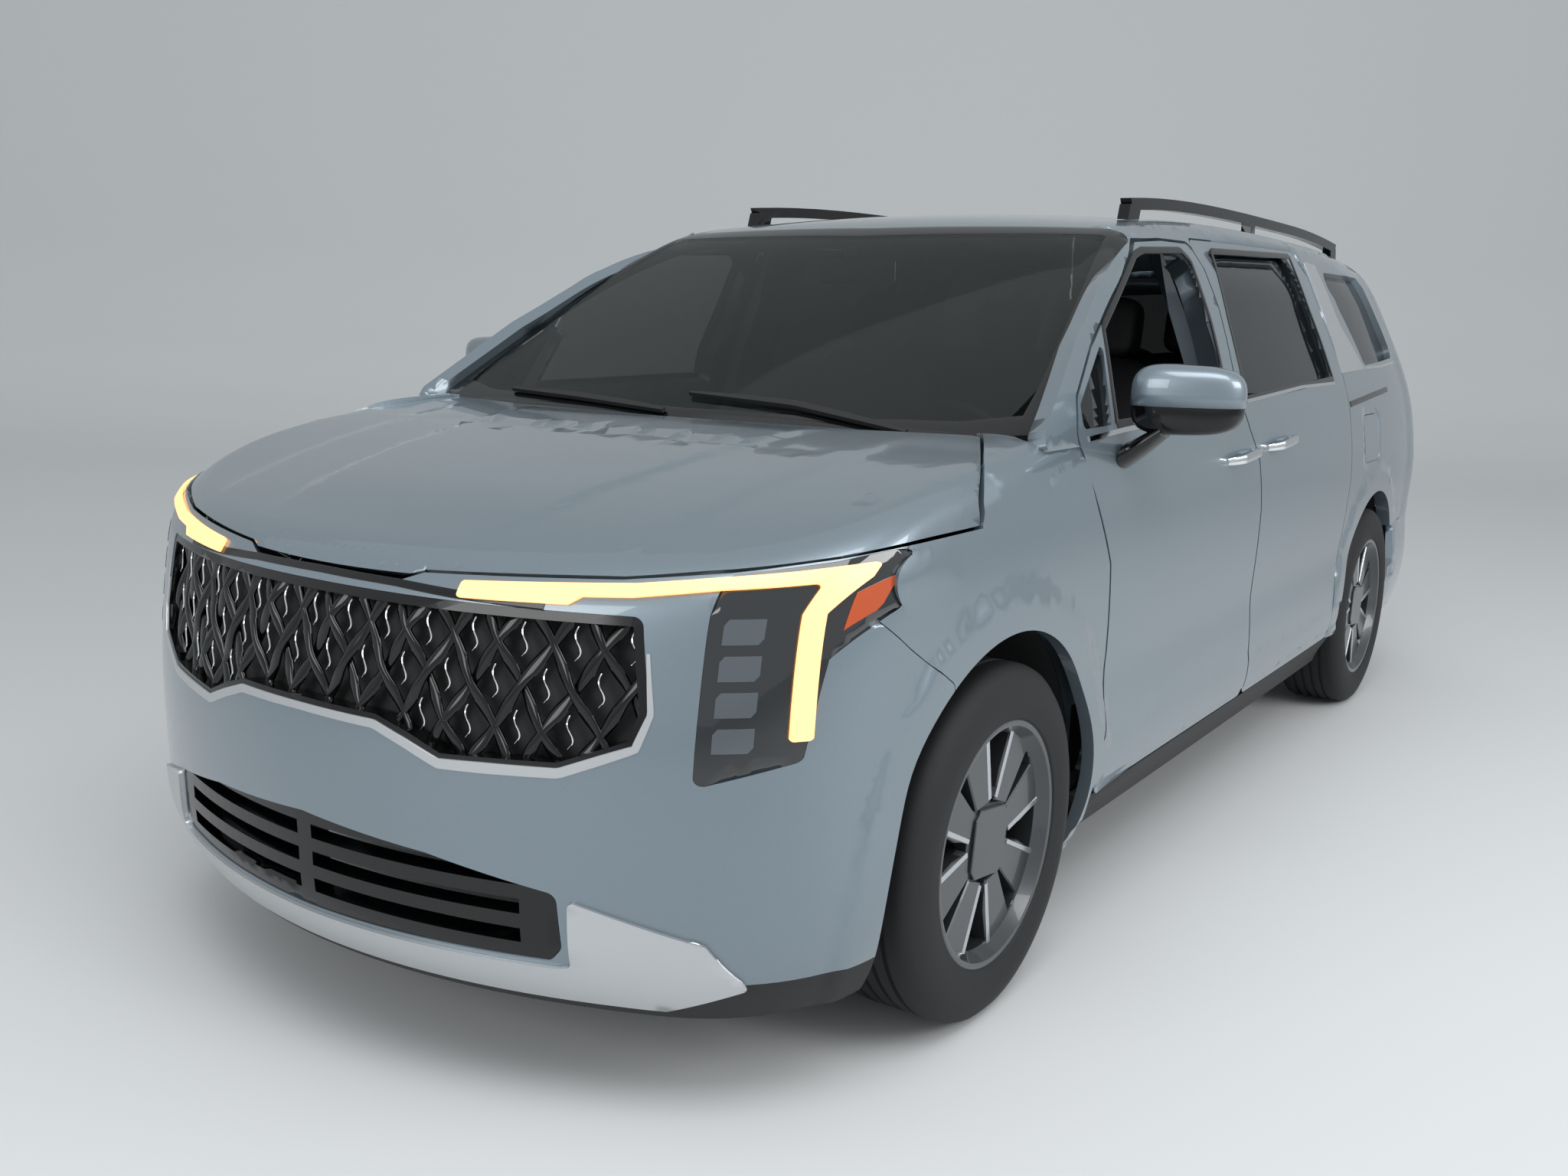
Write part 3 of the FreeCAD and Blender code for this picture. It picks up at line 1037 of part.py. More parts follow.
def roof_rail():
    """Rail that follows the roof's edge on three feet, left side."""
    thick = size("rail_radius")
    side_y = rail_y - thick
    stations = steps(at(0.571), at(-0.4004), 9)
    top = [Vector(x, side_y, roof_z(x, rail_y) + size("rail_clear") + thick) for x in stations]
    low = [Vector(x, side_y, roof_z(x, rail_y) + size("rail_clear") - thick) for x in stations]
    low[0].x -= thick
    low[-1].x += thick
    sides = [curve_through(top), Part.makeLine(top[-1], low[-1]), curve_through(low), Part.makeLine(low[0], top[0])]
    bar = Part.Face(Part.Wire(Part.sortEdges(sides)[0])).extrude(Vector(0, 2 * thick, 0))
    feet = []
    for i, reach in ((0, 5 * thick), (4, 3 * thick), (8, 5 * thick)):
        lean = (4 - i) / 4 * thick
        middle = stations[i] - (4 - i) / 4 * reach * 0.5
        outline = []
        for x, z in ((middle + reach / 2 + lean, None), (middle + reach / 2, top[i].z - thick),
                     (middle - reach / 2, top[i].z - thick), (middle - reach / 2 + lean, None)):
            outline.append(Vector(x, side_y, roof_z(x, side_y) - thick / 2 if z is None else z))
        feet.append(Part.Face(Part.makePolygon(outline + outline[:1])).extrude(Vector(0, 2 * thick, 0)))
    return bar.fuse(feet).cut(roof_cover)


keep("roof_rails", both(roof_rail()))


def mirror_head():
    """Door mirror: a rounded housing on a foot that seats on the door, left side."""
    x = at(0.805)
    y = half_width
    outline = [Vector(x - 60, y + 20, up(0.66)), Vector(x + 90, y + 20, up(0.66)), Vector(x + 120, y + 20, up(0.7)),
               Vector(x + 90, y + 20, up(0.762)), Vector(x - 60, y + 20, up(0.768))]
    head = rounded_face(outline, 30).extrude(Vector(0, size("mirror_reach"), 0))
    foot = block(x - 20, x + 60, y - 60, y + 60, up(0.635), up(0.67))
    patch = side_prism([(0.7791, 0.6149), (0.7791, 0.6897), (0.8439, 0.6897), (0.8439, 0.6149)], 5, 0, 0.5)
    return head.fuse(foot.cut(panel(door_sheet, patch, size("side_wall") * 2, -size("seat_gap"))))


mirror_piece = mirror_head()
keep("mirror_left", mirror_piece)
keep("mirror_right", mirror(mirror_piece))


# Wheels
def ring(profile):
    """Solid of revolution about the axle from (radius, offset along the axle) points."""
    points = [Vector(0, y, r) for r, y in profile]
    face = Part.Face(Part.makePolygon(points + points[:1]))
    return face.revolve(Vector(0, 0, 0), Vector(0, 1, 0), 360)


def tyre_shape():
    """Tyre section: bulged walls, rounded shoulders and a flat tread."""
    r = size("tyre_radius")
    b = size("bead_radius") + size("seat_gap")
    w = size("tyre_width") / 2
    wall = (r - b)
    lip = size("flange_radius") + size("seat_gap")
    points = [(b, -w * 0.84), (lip, -w * 0.84), (b + wall * 0.25, -w * 0.97), (b + wall * 0.5, -w), (b + wall * 0.78, -w * 0.93),
              (r - wall * 0.06, -w * 0.82), (r, -w * 0.66), (r, w * 0.66), (r - wall * 0.06, w * 0.82),
              (b + wall * 0.78, w * 0.93), (b + wall * 0.5, w), (b + wall * 0.25, w * 0.97), (lip, w * 0.84), (b, w * 0.84)]
    return ring(points)


def rim_shape():
    """Rim barrel, flanges, hub disc, forked spokes and brake disc about the axle."""
    w = size("tyre_width") / 2
    b = size("bead_radius")
    inner = size("barrel_radius")
    flange = size("flange_radius")
    gap = size("seat_gap")
    edge = w * 0.84 + gap
    outer = ring([(inner, -edge - 10), (flange, -edge - 10), (flange, -edge), (b, -edge), (b, edge),
                  (flange, edge), (flange, edge + 10), (inner, edge + 10)])
    face_y = size("hub_face_y") - size("wheel_centre_y")
    thick = size("spoke_thickness")
    hub_disc = Part.makeCylinder(size("hub_radius"), thick, Vector(0, face_y, 0), Vector(0, 1, 0))
    shape = outer.fuse(hub_disc)
    arms = []
    for i in range(4):
        cover = block(-size("cover_half"), size("cover_half"), face_y, face_y + thick * 1.2, -size("cover_half"), size("cover_half"))
        for fork in (-1, 1):
            arm = block(-size("spoke_width") / 2, size("spoke_width") / 2, face_y, face_y + thick, size("hub_radius") * 0.8, inner + 6)
            arm.rotate(Vector(0, 0, size("hub_radius")), Vector(0, 1, 0), fork * size("fork_angle"))
            arm.rotate(Vector(0, 0, 0), Vector(0, 1, 0), 90 * i + size("cover_turn"))
            arms.append(arm)
    cover.rotate(Vector(0, 0, 0), Vector(0, 1, 0), 45 + size("cover_turn"))
    shape = shape.fuse(arms + [cover])
    disc = Part.makeCylinder(size("disc_radius"), size("disc_thickness"), Vector(0, face_y - 58, 0), Vector(0, 1, 0))
    hat = Part.makeCylinder(size("hub_radius"), 58, Vector(0, face_y - 58, 0), Vector(0, 1, 0))
    shape = shape.fuse([disc, hat])
    bore = Part.makeCylinder(size("spindle_radius") + size("running_gap"), 80, Vector(0, face_y - 60, 0), Vector(0, 1, 0))
    return shape.cut(bore)


tyre = tyre_shape()
rim = rim_shape()
for name, x, sign in (("front_left", front_axle, 1), ("front_right", front_axle, -1),
                      ("rear_left", rear_axle, 1), ("rear_right", rear_axle, -1)):
    for label, shape in (("tyre_", tyre), ("rim_", rim)):
        place = Placement(Vector(x, sign * size("wheel_centre_y"), axle_z), Rotation())
        keep(label + name, shape if sign > 0 else mirror(shape), place)


def knuckle():
    """Steering knuckle: upright with spindle and brake caliper, left side."""
    y = size("kingpin_y")
    face = size("hub_face_y")
    upright = block(front_axle - 40, front_axle + 40, y - 25, y + 25, size("frame_top") + size("seat_gap"), axle_z + 90)
    spindle = barrel(size("spindle_radius"), front_axle, y, face + 10)
    reach = size("disc_radius")
    caliper = block(front_axle - reach - 30, front_axle - reach * 0.62, face - 88, face - 14, axle_z - 60, axle_z + 60)
    slot = barrel(reach + 6, front_axle, face - 64, face - 22)
    bracket = block(front_axle - reach, front_axle, y - 15, face - 66, axle_z - 40, axle_z + 40)
    return upright.fuse([spindle, caliper.cut(slot), bracket])


knuckle_piece = knuckle()
keep("knuckle_left", knuckle_piece)
keep("knuckle_right", mirror(knuckle_piece))


doc.recompute()
for thing in doc.Objects:
    if "Invalid" in thing.State or "Error" in thing.State:
        raise RuntimeError("failed: " + thing.Label)
for piece in nodes:
    if piece.Shape.isNull() or not piece.Shape.isValid():
        raise RuntimeError("bad shape: " + piece.Label)
os.makedirs("parts", exist_ok=True)
for piece in nodes:
    piece.Shape.exportStep("parts/%s.step" % piece.Label)
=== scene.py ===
import json
import math

import bmesh
import bpy
import numpy as np
from mathutils import Matrix, Vector


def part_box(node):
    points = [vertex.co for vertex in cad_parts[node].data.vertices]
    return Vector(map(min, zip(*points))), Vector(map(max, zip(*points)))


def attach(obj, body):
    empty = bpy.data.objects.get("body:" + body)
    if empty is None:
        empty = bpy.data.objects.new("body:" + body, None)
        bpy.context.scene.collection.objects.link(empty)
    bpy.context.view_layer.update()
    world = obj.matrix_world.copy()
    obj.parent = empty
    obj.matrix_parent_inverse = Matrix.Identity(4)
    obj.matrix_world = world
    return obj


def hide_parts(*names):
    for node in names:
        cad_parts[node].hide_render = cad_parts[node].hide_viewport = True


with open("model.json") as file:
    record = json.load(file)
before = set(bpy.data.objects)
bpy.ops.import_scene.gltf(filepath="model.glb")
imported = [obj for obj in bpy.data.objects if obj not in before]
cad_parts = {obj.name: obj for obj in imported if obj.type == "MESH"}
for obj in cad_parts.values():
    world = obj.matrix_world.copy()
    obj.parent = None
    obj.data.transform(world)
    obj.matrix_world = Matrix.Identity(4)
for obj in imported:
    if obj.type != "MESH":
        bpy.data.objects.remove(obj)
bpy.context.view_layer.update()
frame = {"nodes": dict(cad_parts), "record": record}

# Sizes of the minivan in metres, from the frame's own boxes
tyre_low, tyre_high = (np.array(c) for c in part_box("tyre_front_left"))
rear_tyre_low, rear_tyre_high = (np.array(c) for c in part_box("tyre_rear_left"))
front_axle = (tyre_low[0] + tyre_high[0]) / 2
rear_axle = (rear_tyre_low[0] + rear_tyre_high[0]) / 2
axle_z = (tyre_low[2] + tyre_high[2]) / 2
tyre_radius = (tyre_high[2] - tyre_low[2]) / 2
tyre_width = tyre_high[1] - tyre_low[1]
wheel_y = (tyre_low[1] + tyre_high[1]) / 2
half_width = 0.9975
nose_sweep = 0.346
tail_sweep = 0.13
corner_front = 0.19
corner_rear = 0.17
hood_corner = 0.06
roof_corner = 0.08
header_x = 0.6
mm = 0.001


def curve(*pairs):
    """Natural cubic spline through (place, value) pairs: its second differences solve one system."""
    knots = np.array(sorted(pairs), float)
    x, y = knots.T
    h = np.diff(x)
    n = len(x)
    system = np.eye(n)
    right = np.zeros(n)
    for i in range(1, n - 1):
        system[i, i - 1 : i + 2] = h[i - 1], 2 * (h[i - 1] + h[i]), h[i]
        right[i] = 6 * ((y[i + 1] - y[i]) / h[i] - (y[i] - y[i - 1]) / h[i - 1])
    bend = np.linalg.solve(system, right)

    def value(place):
        place = np.asarray(place, float)
        i = np.clip(np.searchsorted(x, place) - 1, 0, n - 2)
        inside = np.clip(place, x[0], x[-1])
        a = (x[i + 1] - inside) / h[i]
        b = 1 - a
        bent = (a**3 - a) * bend[i] + (b**3 - b) * bend[i + 1]
        result = a * y[i] + b * y[i + 1] + bent * h[i] ** 2 / 6
        first = (y[1] - y[0]) / h[0] - h[0] * bend[1] / 6
        last = (y[-1] - y[-2]) / h[-1] + h[-1] * bend[-2] / 6
        return result + np.minimum(place - x[0], 0) * first + np.maximum(place - x[-1], 0) * last

    return value


# Body surface: sections across and along the body, in metres
side_y = curve(
    (0.15, 0.88), (0.25, 0.945), (0.33, 0.972), (0.42, 0.985), (0.55, 0.984), (0.62, 0.978), (0.7, 0.98),
    (0.85, 0.984), (0.98, 0.978), (1.08, 0.964), (1.17, 0.944), (1.25, 0.916), (1.35, 0.879),
    (1.45, 0.838), (1.55, 0.793), (1.64, 0.748), (1.72, 0.705), (1.8, 0.66),
)
side_narrowing = curve(
    (-2.577, 0.072), (-2.2, 0.034), (-1.8, 0.01), (-1.3, 0), (1.2, 0), (1.7, 0.003), (2.1, 0.02),
    (2.577, 0.068),
)
tail_narrowing = curve((-2.577, 0.03), (-1.8, 0.016), (-0.9, 0), (1.2, 0))
nose_x = curve(
    (0.15, 2.49), (0.215, 2.525), (0.28, 2.56), (0.35, 2.572), (0.45, 2.576), (0.56, 2.5775),
    (0.66, 2.574), (0.76, 2.563), (0.86, 2.548), (0.94, 2.53), (1.0, 2.505), (1.08, 2.46),
)
tail_x = curve(
    (0.15, -2.48), (0.25, -2.54), (0.4, -2.57), (0.56, -2.5775), (0.7, -2.57), (0.8, -2.556),
    (1.0, -2.538), (1.2, -2.5), (1.4, -2.42), (1.6, -2.312), (1.7, -2.25),
)
hood_z = curve(
    (2.577, 0.89), (2.5, 0.962), (2.457, 0.99), (2.4, 1.013), (2.3, 1.045), (2.1, 1.09), (1.85, 1.132),
    (1.56, 1.166), (1.43, 1.178), (1.2, 1.195),
)
hood_fall = curve(
    (2.577, 0.14), (2.4, 0.095), (2.23, 0.062), (2.13, 0.042), (2.025, 0.027), (1.89, 0.016),
    (1.7, 0.01), (1.4, 0.006),
)
cabin_z = curve(
    (1.7, 1.028), (1.5, 1.15), (1.331, 1.253), (1.1, 1.392), (0.85, 1.535), (0.7, 1.615), (0.6, 1.658),
    (0.4, 1.7), (0, 1.732), (-0.5, 1.74), (-1.2, 1.732), (-1.8, 1.703), (-2.2, 1.655), (-2.35, 1.625),
)
cabin_fall = curve(
    (1.5, 0.042), (1.1, 0.036), (0.7, 0.034), (0.4, 0.052), (0, 0.066), (-0.5, 0.066), (-1.5, 0.06),
    (-2.3, 0.05),
)


def rounded_max(a, b, blend):
    """The larger of two distances, with the corner between them rounded over blend."""
    share = np.maximum(blend - abs(a - b), 0) / blend
    return np.maximum(a, b) + share**2 * blend / 4


def walls(p):
    """Distance outside the sides, nose and tail: y past the section, x past a nose swept with y squared."""
    x, y, z = p[..., 0], p[..., 1], p[..., 2]
    section = side_y(z) - side_narrowing(x) - np.maximum(z / 1.74 - 0.5, 0) * 2 * tail_narrowing(x)
    flank = abs(y) - section
    sweep = y**2 / half_width
    nose = x - nose_x(z) + nose_sweep * sweep
    tail = tail_x(z) - x + tail_sweep * sweep
    return rounded_max(rounded_max(flank, nose, corner_front), tail, corner_rear)


def under_hood(p):
    """Distance outside the body under the hood: z past the hood line that falls with y squared."""
    x, y, z = p[..., 0], p[..., 1], p[..., 2]
    top = z - hood_z(x) + hood_fall(x) * (y / half_width) ** 2
    return rounded_max(walls(p), top, hood_corner)


def under_roof(p, front=9.0):
    """Distance outside the body under the windshield and roof line, carried level ahead of front."""
    x, y, z = np.minimum(p[..., 0], front), p[..., 1], p[..., 2]
    top = z - cabin_z(x) + cabin_fall(x) * (y / half_width) ** 2
    return rounded_max(walls(p), top, roof_corner)


def beside_roof(p):
    """The same, with the roof line carried level ahead of the windshield's upper edge."""
    return under_roof(p, header_x)


def ramp(value, low, high):
    """Smooth step from 0 at low to 1 at high: t squared times (3 - 2t)."""
    t = np.clip((value - low) / (high - low), 0, 1)
    return t * t * (3 - 2 * t)


flare_height = 9 * mm
flare_inner = 0.512
flare_outer = 0.545


def side_swell(p):
    """Height of the arch flares over the sides: a smooth step in the distance from each axle."""
    swell = np.zeros(p.shape[:-1])
    for axle in (front_axle, rear_axle):
        r = np.hypot(p[..., 0] - axle, p[..., 2] - axle_z)
        swell += flare_height * (1 - ramp(r, flare_inner, flare_outer))
    side = ramp(abs(p[..., 1]), 0.8, 0.86)
    return np.minimum(swell, 11 * mm) * side


def hood_swell(p):
    """Height of the hood's pressed panel: steps of 6 and 4 mm inside lines that close towards the nose."""
    x, y = p[..., 0], abs(p[..., 1])
    inner = 0.30 + (x - 2.35) * -0.16
    outer = 0.56 + (x - 2.35) * -0.12
    fade = ramp(x, 1.5, 1.62) * (1 - ramp(x, 2.2, 2.42))
    ridge = (1 - ramp(y, inner - 0.004, inner + 0.03)) * 6
    ridge = ridge + (1 - ramp(y, outer - 0.004, outer + 0.05)) * 4
    return (ridge - 4 * (1 - ramp(x, 2.3, 2.5))) * mm * fade


def no_swell(p):
    """Zero everywhere."""
    return np.zeros(p.shape[:-1])


def gradient(field, p):
    """Unit outward direction of a field, by central differences over 2 mm."""
    result = np.zeros_like(p)
    for axis in range(3):
        step = np.zeros(3)
        step[axis] = mm
        result[..., axis] = field(p + step) - field(p - step)
    return result / np.linalg.norm(result, axis=-1, keepdims=True)


ray_reach = 3.0
halvings = 40


def settle(field, start, direction, height=0.0):
    """Points where rays meet a field's level: bisection between 0 and the reach along each ray."""
    near = np.zeros(start.shape[:-1] + (1,))
    far = near + ray_reach
    for _ in range(halvings):
        middle = (near + far) / 2
        outside = field(start + direction * middle)[..., None] > height
        far = np.where(outside, middle, far)
        near = np.where(outside, near, middle)
    return start + direction * near


def on_side(x, z, swell=side_swell):
    """Points of the left side at (x, z)."""
    start = np.stack([x, np.zeros_like(x) + 0.2, z], -1)
    return settle(lambda p: walls(p) - swell(p), start, np.array([0.0, 1.0, 0.0]))


def on_nose(y, z):
    """Points of the nose at (y, z)."""
    start = np.stack([np.zeros_like(y) + 1.7, y, z], -1)
    return settle(under_hood, start, np.array([1.0, 0.0, 0.0]))


def on_tail(y, z):
    """Points of the tail at (y, z)."""
    start = np.stack([np.zeros_like(y) - 1.7, y, z], -1)
    return settle(under_roof, start, np.array([-1.0, 0.0, 0.0]))


def on_glass(x, y):
    """Points of the windshield and roof at (x, y)."""
    start = np.stack([x, y, np.zeros_like(y) + 0.8], -1)
    return settle(under_roof, start, np.array([0.0, 0.0, 1.0]))


# Materials
def linear(code):
    """sRGB hex to linear: each channel through the standard curve."""
    channels = [int(code[i : i + 2], 16) / 255 for i in (1, 3, 5)]
    return [c / 12.92 if c <= 0.04045 else ((c + 0.055) / 1.055) ** 2.4 for c in channels] + [1.0]


def add(material, kind, settings=(), links=()):
    """One node with its input settings, and links from (node, output) to its inputs."""
    node = material.node_tree.nodes.new(kind)
    for key, value in settings:
        if isinstance(key, str) and hasattr(node, key):
            setattr(node, key, value)
        else:
            node.inputs[key].default_value = value
    for (source, output), target in links:
        material.node_tree.links.new(source.outputs[output], node.inputs[target])
    return node


def finish(name, color, roughness, metallic=0.0, **sockets):
    """A material of one shader: its colour, roughness, metallic share and any further sockets."""
    material = bpy.data.materials.new(name)
    material.use_nodes = True
    shader = material.node_tree.nodes["Principled BSDF"]
    shader.inputs["Base Color"].default_value = linear(color)
    shader.inputs["Roughness"].default_value = roughness
    shader.inputs["Metallic"].default_value = metallic
    for key, value in sockets.items():
        shader.inputs[key.replace("_", " ")].default_value = value
    return material


def speckled(material, color, other, grain, low=0.4, high=0.6):
    """Two close colours mixed by noise of a real grain size in metres, on Object coordinates."""
    shader = material.node_tree.nodes["Principled BSDF"]
    place = add(material, "ShaderNodeTexCoord")
    noise = add(
        material, "ShaderNodeTexNoise", [("Scale", 1 / grain), ("Detail", 3.0)],
        [((place, "Object"), "Vector")],
    )
    ramp_node = add(material, "ShaderNodeValToRGB", (), [((noise, 0), "Fac")])
    ramp_node.color_ramp.elements[0].position = low
    ramp_node.color_ramp.elements[1].position = high
    ramp_node.color_ramp.elements[0].color = linear(color)
    ramp_node.color_ramp.elements[1].color = linear(other)
    material.node_tree.links.new(ramp_node.outputs[0], shader.inputs["Base Color"])
    return noise


def grained(material, noise, depth):
    """Moulded or woven relief from a noise, a share of a millimetre deep."""
    shader = material.node_tree.nodes["Principled BSDF"]
    relief = add(
        material, "ShaderNodeBump", [("Strength", 0.5), ("Distance", depth)], [((noise, 0), "Height")],
    )
    material.node_tree.links.new(relief.outputs[0], shader.inputs["Normal"])


# Metallic basecoat under clear coat: a soft blue-grey with a sharp reflection on top
paint = finish("metallic_basecoat_clearcoat", "#7b8991", 0.36, 0.6, Coat_Weight=1.0, Coat_Roughness=0.03)
speckled(paint, "#77858e", "#7f8d96", 0.8 * mm)
# Piano-black moulded plastic: deep and mirror-smooth
piano_black = finish("piano_black_moulding", "#060708", 0.1)
# Grained black polypropylene: dull, with a faint sheen over fine grain
cladding = finish("grained_polypropylene", "#1b1c1d", 0.62)
grained(cladding, speckled(cladding, "#191a1b", "#202122", 1.5 * mm), 0.3 * mm)
# Satin aluminium-look trim: pale, soft reflections
satin_silver = finish("satin_silver_trim", "#c3c6c8", 0.34, 0.75)
# Bright chromed plastic: near mirror
chrome = finish("chromed_plastic", "#e3e6e8", 0.08, 1.0)
# Laminated glass with a dark green tint
clear_glass = finish("tinted_laminated_glass", "#101614", 0.03, Alpha=0.55)
# Grey privacy glass: dark, hides the cabin
privacy_glass = finish("grey_privacy_glass", "#17191b", 0.04, Alpha=0.86)
# Smoked polycarbonate lamp lens: glossy and dark
lamp_lens = finish("smoked_polycarbonate", "#1a1d20", 0.04, Coat_Weight=1.0)
lamp_reflector = finish("aluminised_reflector", "#777d83", 0.18, 0.9)
# Light guide, lit warm white
light_guide = finish(
    "lit_light_guide", "#ffc890", 0.3, Emission_Color=linear("#ffa860"), Emission_Strength=1.5,
)
amber = finish("amber_reflector_lens", "#b8480c", 0.12, Coat_Weight=1.0)
red_lens = finish("red_acrylic_lens", "#7a0b0d", 0.1, Coat_Weight=1.0)
# Carbon-black rubber: dull, slightly brown
rubber = finish("carbon_black_rubber", "#101113", 0.7)
grained(rubber, speckled(rubber, "#0f1012", "#151618", 2 * mm), 0.2 * mm)
# Charcoal lacquered alloy and its bright machined edges
charcoal_alloy = finish("charcoal_lacquered_alloy", "#4e5053", 0.32, 0.7, Coat_Weight=0.6)
machined_alloy = finish("machined_alloy", "#ccd0d4", 0.25, 0.9)
cast_iron = finish("cast_iron", "#3d3b39", 0.6, 0.6)
chassis_black = finish("chassis_enamel", "#151515", 0.55)
steel_gray = finish("aluminised_steel", "#6f7072", 0.45, 0.8)
# Soft-touch slush-moulded dashboard skin
dash_skin = finish("soft_touch_dash_skin", "#202124", 0.6)
grained(dash_skin, speckled(dash_skin, "#1e1f22", "#26272a", 2.5 * mm), 0.3 * mm)
# Perforated artificial leather
seat_hide = finish("black_artificial_leather", "#232427", 0.52)
grained(seat_hide, speckled(seat_hide, "#212225", "#2b2c30", 3 * mm), 0.4 * mm)
screen_glass = finish("screen_glass", "#050607", 0.05, Coat_Weight=1.0)
mirror_silver = finish("mirror_glass", "#dfe4e6", 0.02, 1.0)


# Mesh makers
def mesh_object(name, points, faces, material, body, slot_name, smooth=True, angle=35):
    """A mesh of points and faces, turned outward, with edges sharper than an angle left crisp."""
    mesh = bpy.data.meshes.new(name)
    mesh.from_pydata([tuple(p) for p in points], [], [tuple(f) for f in faces])
    bm = bmesh.new()
    bm.from_mesh(mesh)
    bmesh.ops.remove_doubles(bm, verts=bm.verts, dist=1e-5)
    bmesh.ops.recalc_face_normals(bm, faces=bm.faces)
    bm.to_mesh(mesh)
    bm.free()
    obj = bpy.data.objects.new(name, mesh)
    bpy.context.collection.objects.link(obj)
    mesh.materials.append(material)
    if smooth:
        mesh.shade_smooth()
        mesh.set_sharp_from_angle(angle=math.radians(angle))
    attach(obj, body)
    return obj


def grid_faces(rows, columns, wrap_rows=False, wrap_columns=False):
    """Quads of a grid of rows by columns points, joined round either way."""
    r = np.arange(rows if wrap_rows else rows - 1)
    c = np.arange(columns if wrap_columns else columns - 1)
    i, j = np.meshgrid(r, c, indexing="ij")
    i2, j2 = (i + 1) % rows, (j + 1) % columns
    quads = [i * columns + j, i2 * columns + j, i2 * columns + j2, i * columns + j2]
    return np.stack(quads, -1).reshape(-1, 4)


def swept(sections):
    """Points and faces of closed sections (count, around, 3) joined in turn, with both ends capped."""
    count, around, _ = sections.shape
    faces = [list(f) for f in grid_faces(count, around, False, True)]
    faces.append(list(range(around))[::-1])
    faces.append(list(range((count - 1) * around, count * around)))
    return sections.reshape(-1, 3), faces


def joined(parts):
    """Several (points, faces) made one."""
    points, faces, offset = [], [], 0
    for p, f in parts:
        points.append(np.asarray(p))
        faces += [[i + offset for i in face] for face in f]
        offset += len(p)
    return np.concatenate(points), faces


def mirrored(part):
    """The right twin of a left part's (points, faces)."""
    points, faces = part
    return points * [1, -1, 1], [list(f)[::-1] for f in faces]


def twin(part):
    """A left part and its right twin as one."""
    return joined([part, mirrored(part)])


def sided(name, part, material, bodies, slot_name, angle=35):
    """A left part and its right twin as two pieces, each on its own body."""
    for side, body, piece in zip(("left", "right"), bodies, (part, mirrored(part))):
        mesh_object(name + "_" + side, *piece, material, body, slot_name, angle=angle)


shell = ("body", "body")
front_doors = ("front_door_left", "front_door_right")


def smooth_path(points, count):
    """count points along straight runs through the given points, spaced by length."""
    points = np.array(points, float)
    length = np.concatenate([[0], np.cumsum(np.linalg.norm(np.diff(points, axis=0), axis=1))])
    at = np.linspace(0, length[-1], count)
    return np.stack([np.interp(at, length, points[:, k]) for k in range(points.shape[1])], -1)


def band(path, width, height, place, normal_field, count=60, sink=2 * mm, bulge=0.0):
    """Strip along a path drawn on a surface: each section is the path's point moved half a width to each
    side, put on the surface by place, then raised by height, or sunk by sink. width may be a list."""
    line = smooth_path(path, count)
    along = np.gradient(line, axis=0)
    along /= np.linalg.norm(along, axis=1, keepdims=True)
    across = np.stack([-along[:, 1], along[:, 0]], -1)
    wide = np.interp(
        np.linspace(0, 1, count), np.linspace(0, 1, len(np.atleast_1d(width))), np.atleast_1d(width),
    )
    shares = np.array([-0.5, -0.44, -0.2, 0.0, 0.2, 0.44, 0.5])
    lift = np.array([0.45, 1.0, 1.0, 1.0, 1.0, 1.0, 0.45]) * height + bulge * (1 - (2 * shares) ** 2)
    flat = line[:, None, :] + across[:, None, :] * (wide[:, None] * shares)[..., None]
    base = place(flat[..., 0], flat[..., 1])
    normal = gradient(normal_field, base)
    top = base + normal * lift[None, :, None]
    low = base - normal * sink
    return swept(np.concatenate([top, low[:, ::-1]], axis=1))


def plate(outline, place, normal_field, height, sink=2 * mm, rings=10, detail=6):
    """Plate inside an outline drawn on a surface: rings shrink from the outline to its middle, raised by
    height, and the same rings sunk by sink make its underside."""
    closed = np.array(list(outline) + [outline[0]], float)
    edge = smooth_path(closed, len(outline) * detail + 1)[:-1]
    middle = edge.mean(axis=0)
    shares = np.linspace(1, 0.02, rings)
    flat = middle + (edge - middle)[None] * shares[:, None, None]
    base = place(flat[..., 0], flat[..., 1])
    normal = gradient(normal_field, base)
    top = base + normal * height
    low = base - normal * sink
    sections = np.concatenate([low[::-1], top], axis=0)
    return swept(sections)


def turned(profile, centre, count=96, phase=0.0):
    """Surface of revolution about an axle along Y: (radius, offset) points carried round in steps."""
    profile = np.array(profile, float)
    angle = np.linspace(0, 2 * math.pi, count, endpoint=False) + phase
    r, y = profile[:, 0], profile[:, 1]
    x = np.cos(angle)[:, None] * r + centre[0]
    z = np.sin(angle)[:, None] * r + centre[2]
    points = np.stack([x, np.zeros(count)[:, None] + y + centre[1], z], -1)
    return points.reshape(-1, 3), [list(f) for f in grid_faces(count, len(profile), True, True)]


def pillow(size, power=(0.35, 0.5), rows=28, columns=40, crown=0.0):
    """Superquadric cushion: cosine and sine powers of latitude and longitude, with a crowned face."""
    v = np.linspace(-math.pi / 2, math.pi / 2, rows)[:, None]
    u = np.linspace(-math.pi, math.pi, columns, endpoint=False)[None]

    def bent(value, share):
        return np.sign(value) * abs(value) ** share

    x = bent(np.cos(v), power[0]) * bent(np.cos(u), power[1])
    y = bent(np.cos(v), power[0]) * bent(np.sin(u), power[1])
    z = bent(np.sin(v), power[0]) + 0 * u
    z = z + crown * (1 - x**2) * (1 - y**2) * np.sign(z)
    points = np.stack([x * size[0] / 2, y * size[1] / 2, z * size[2] / 2], -1)
    return points, [list(f) for f in grid_faces(rows, columns, False, True)]


skin_depth = 3 * mm
same_face_cosine = 0.86


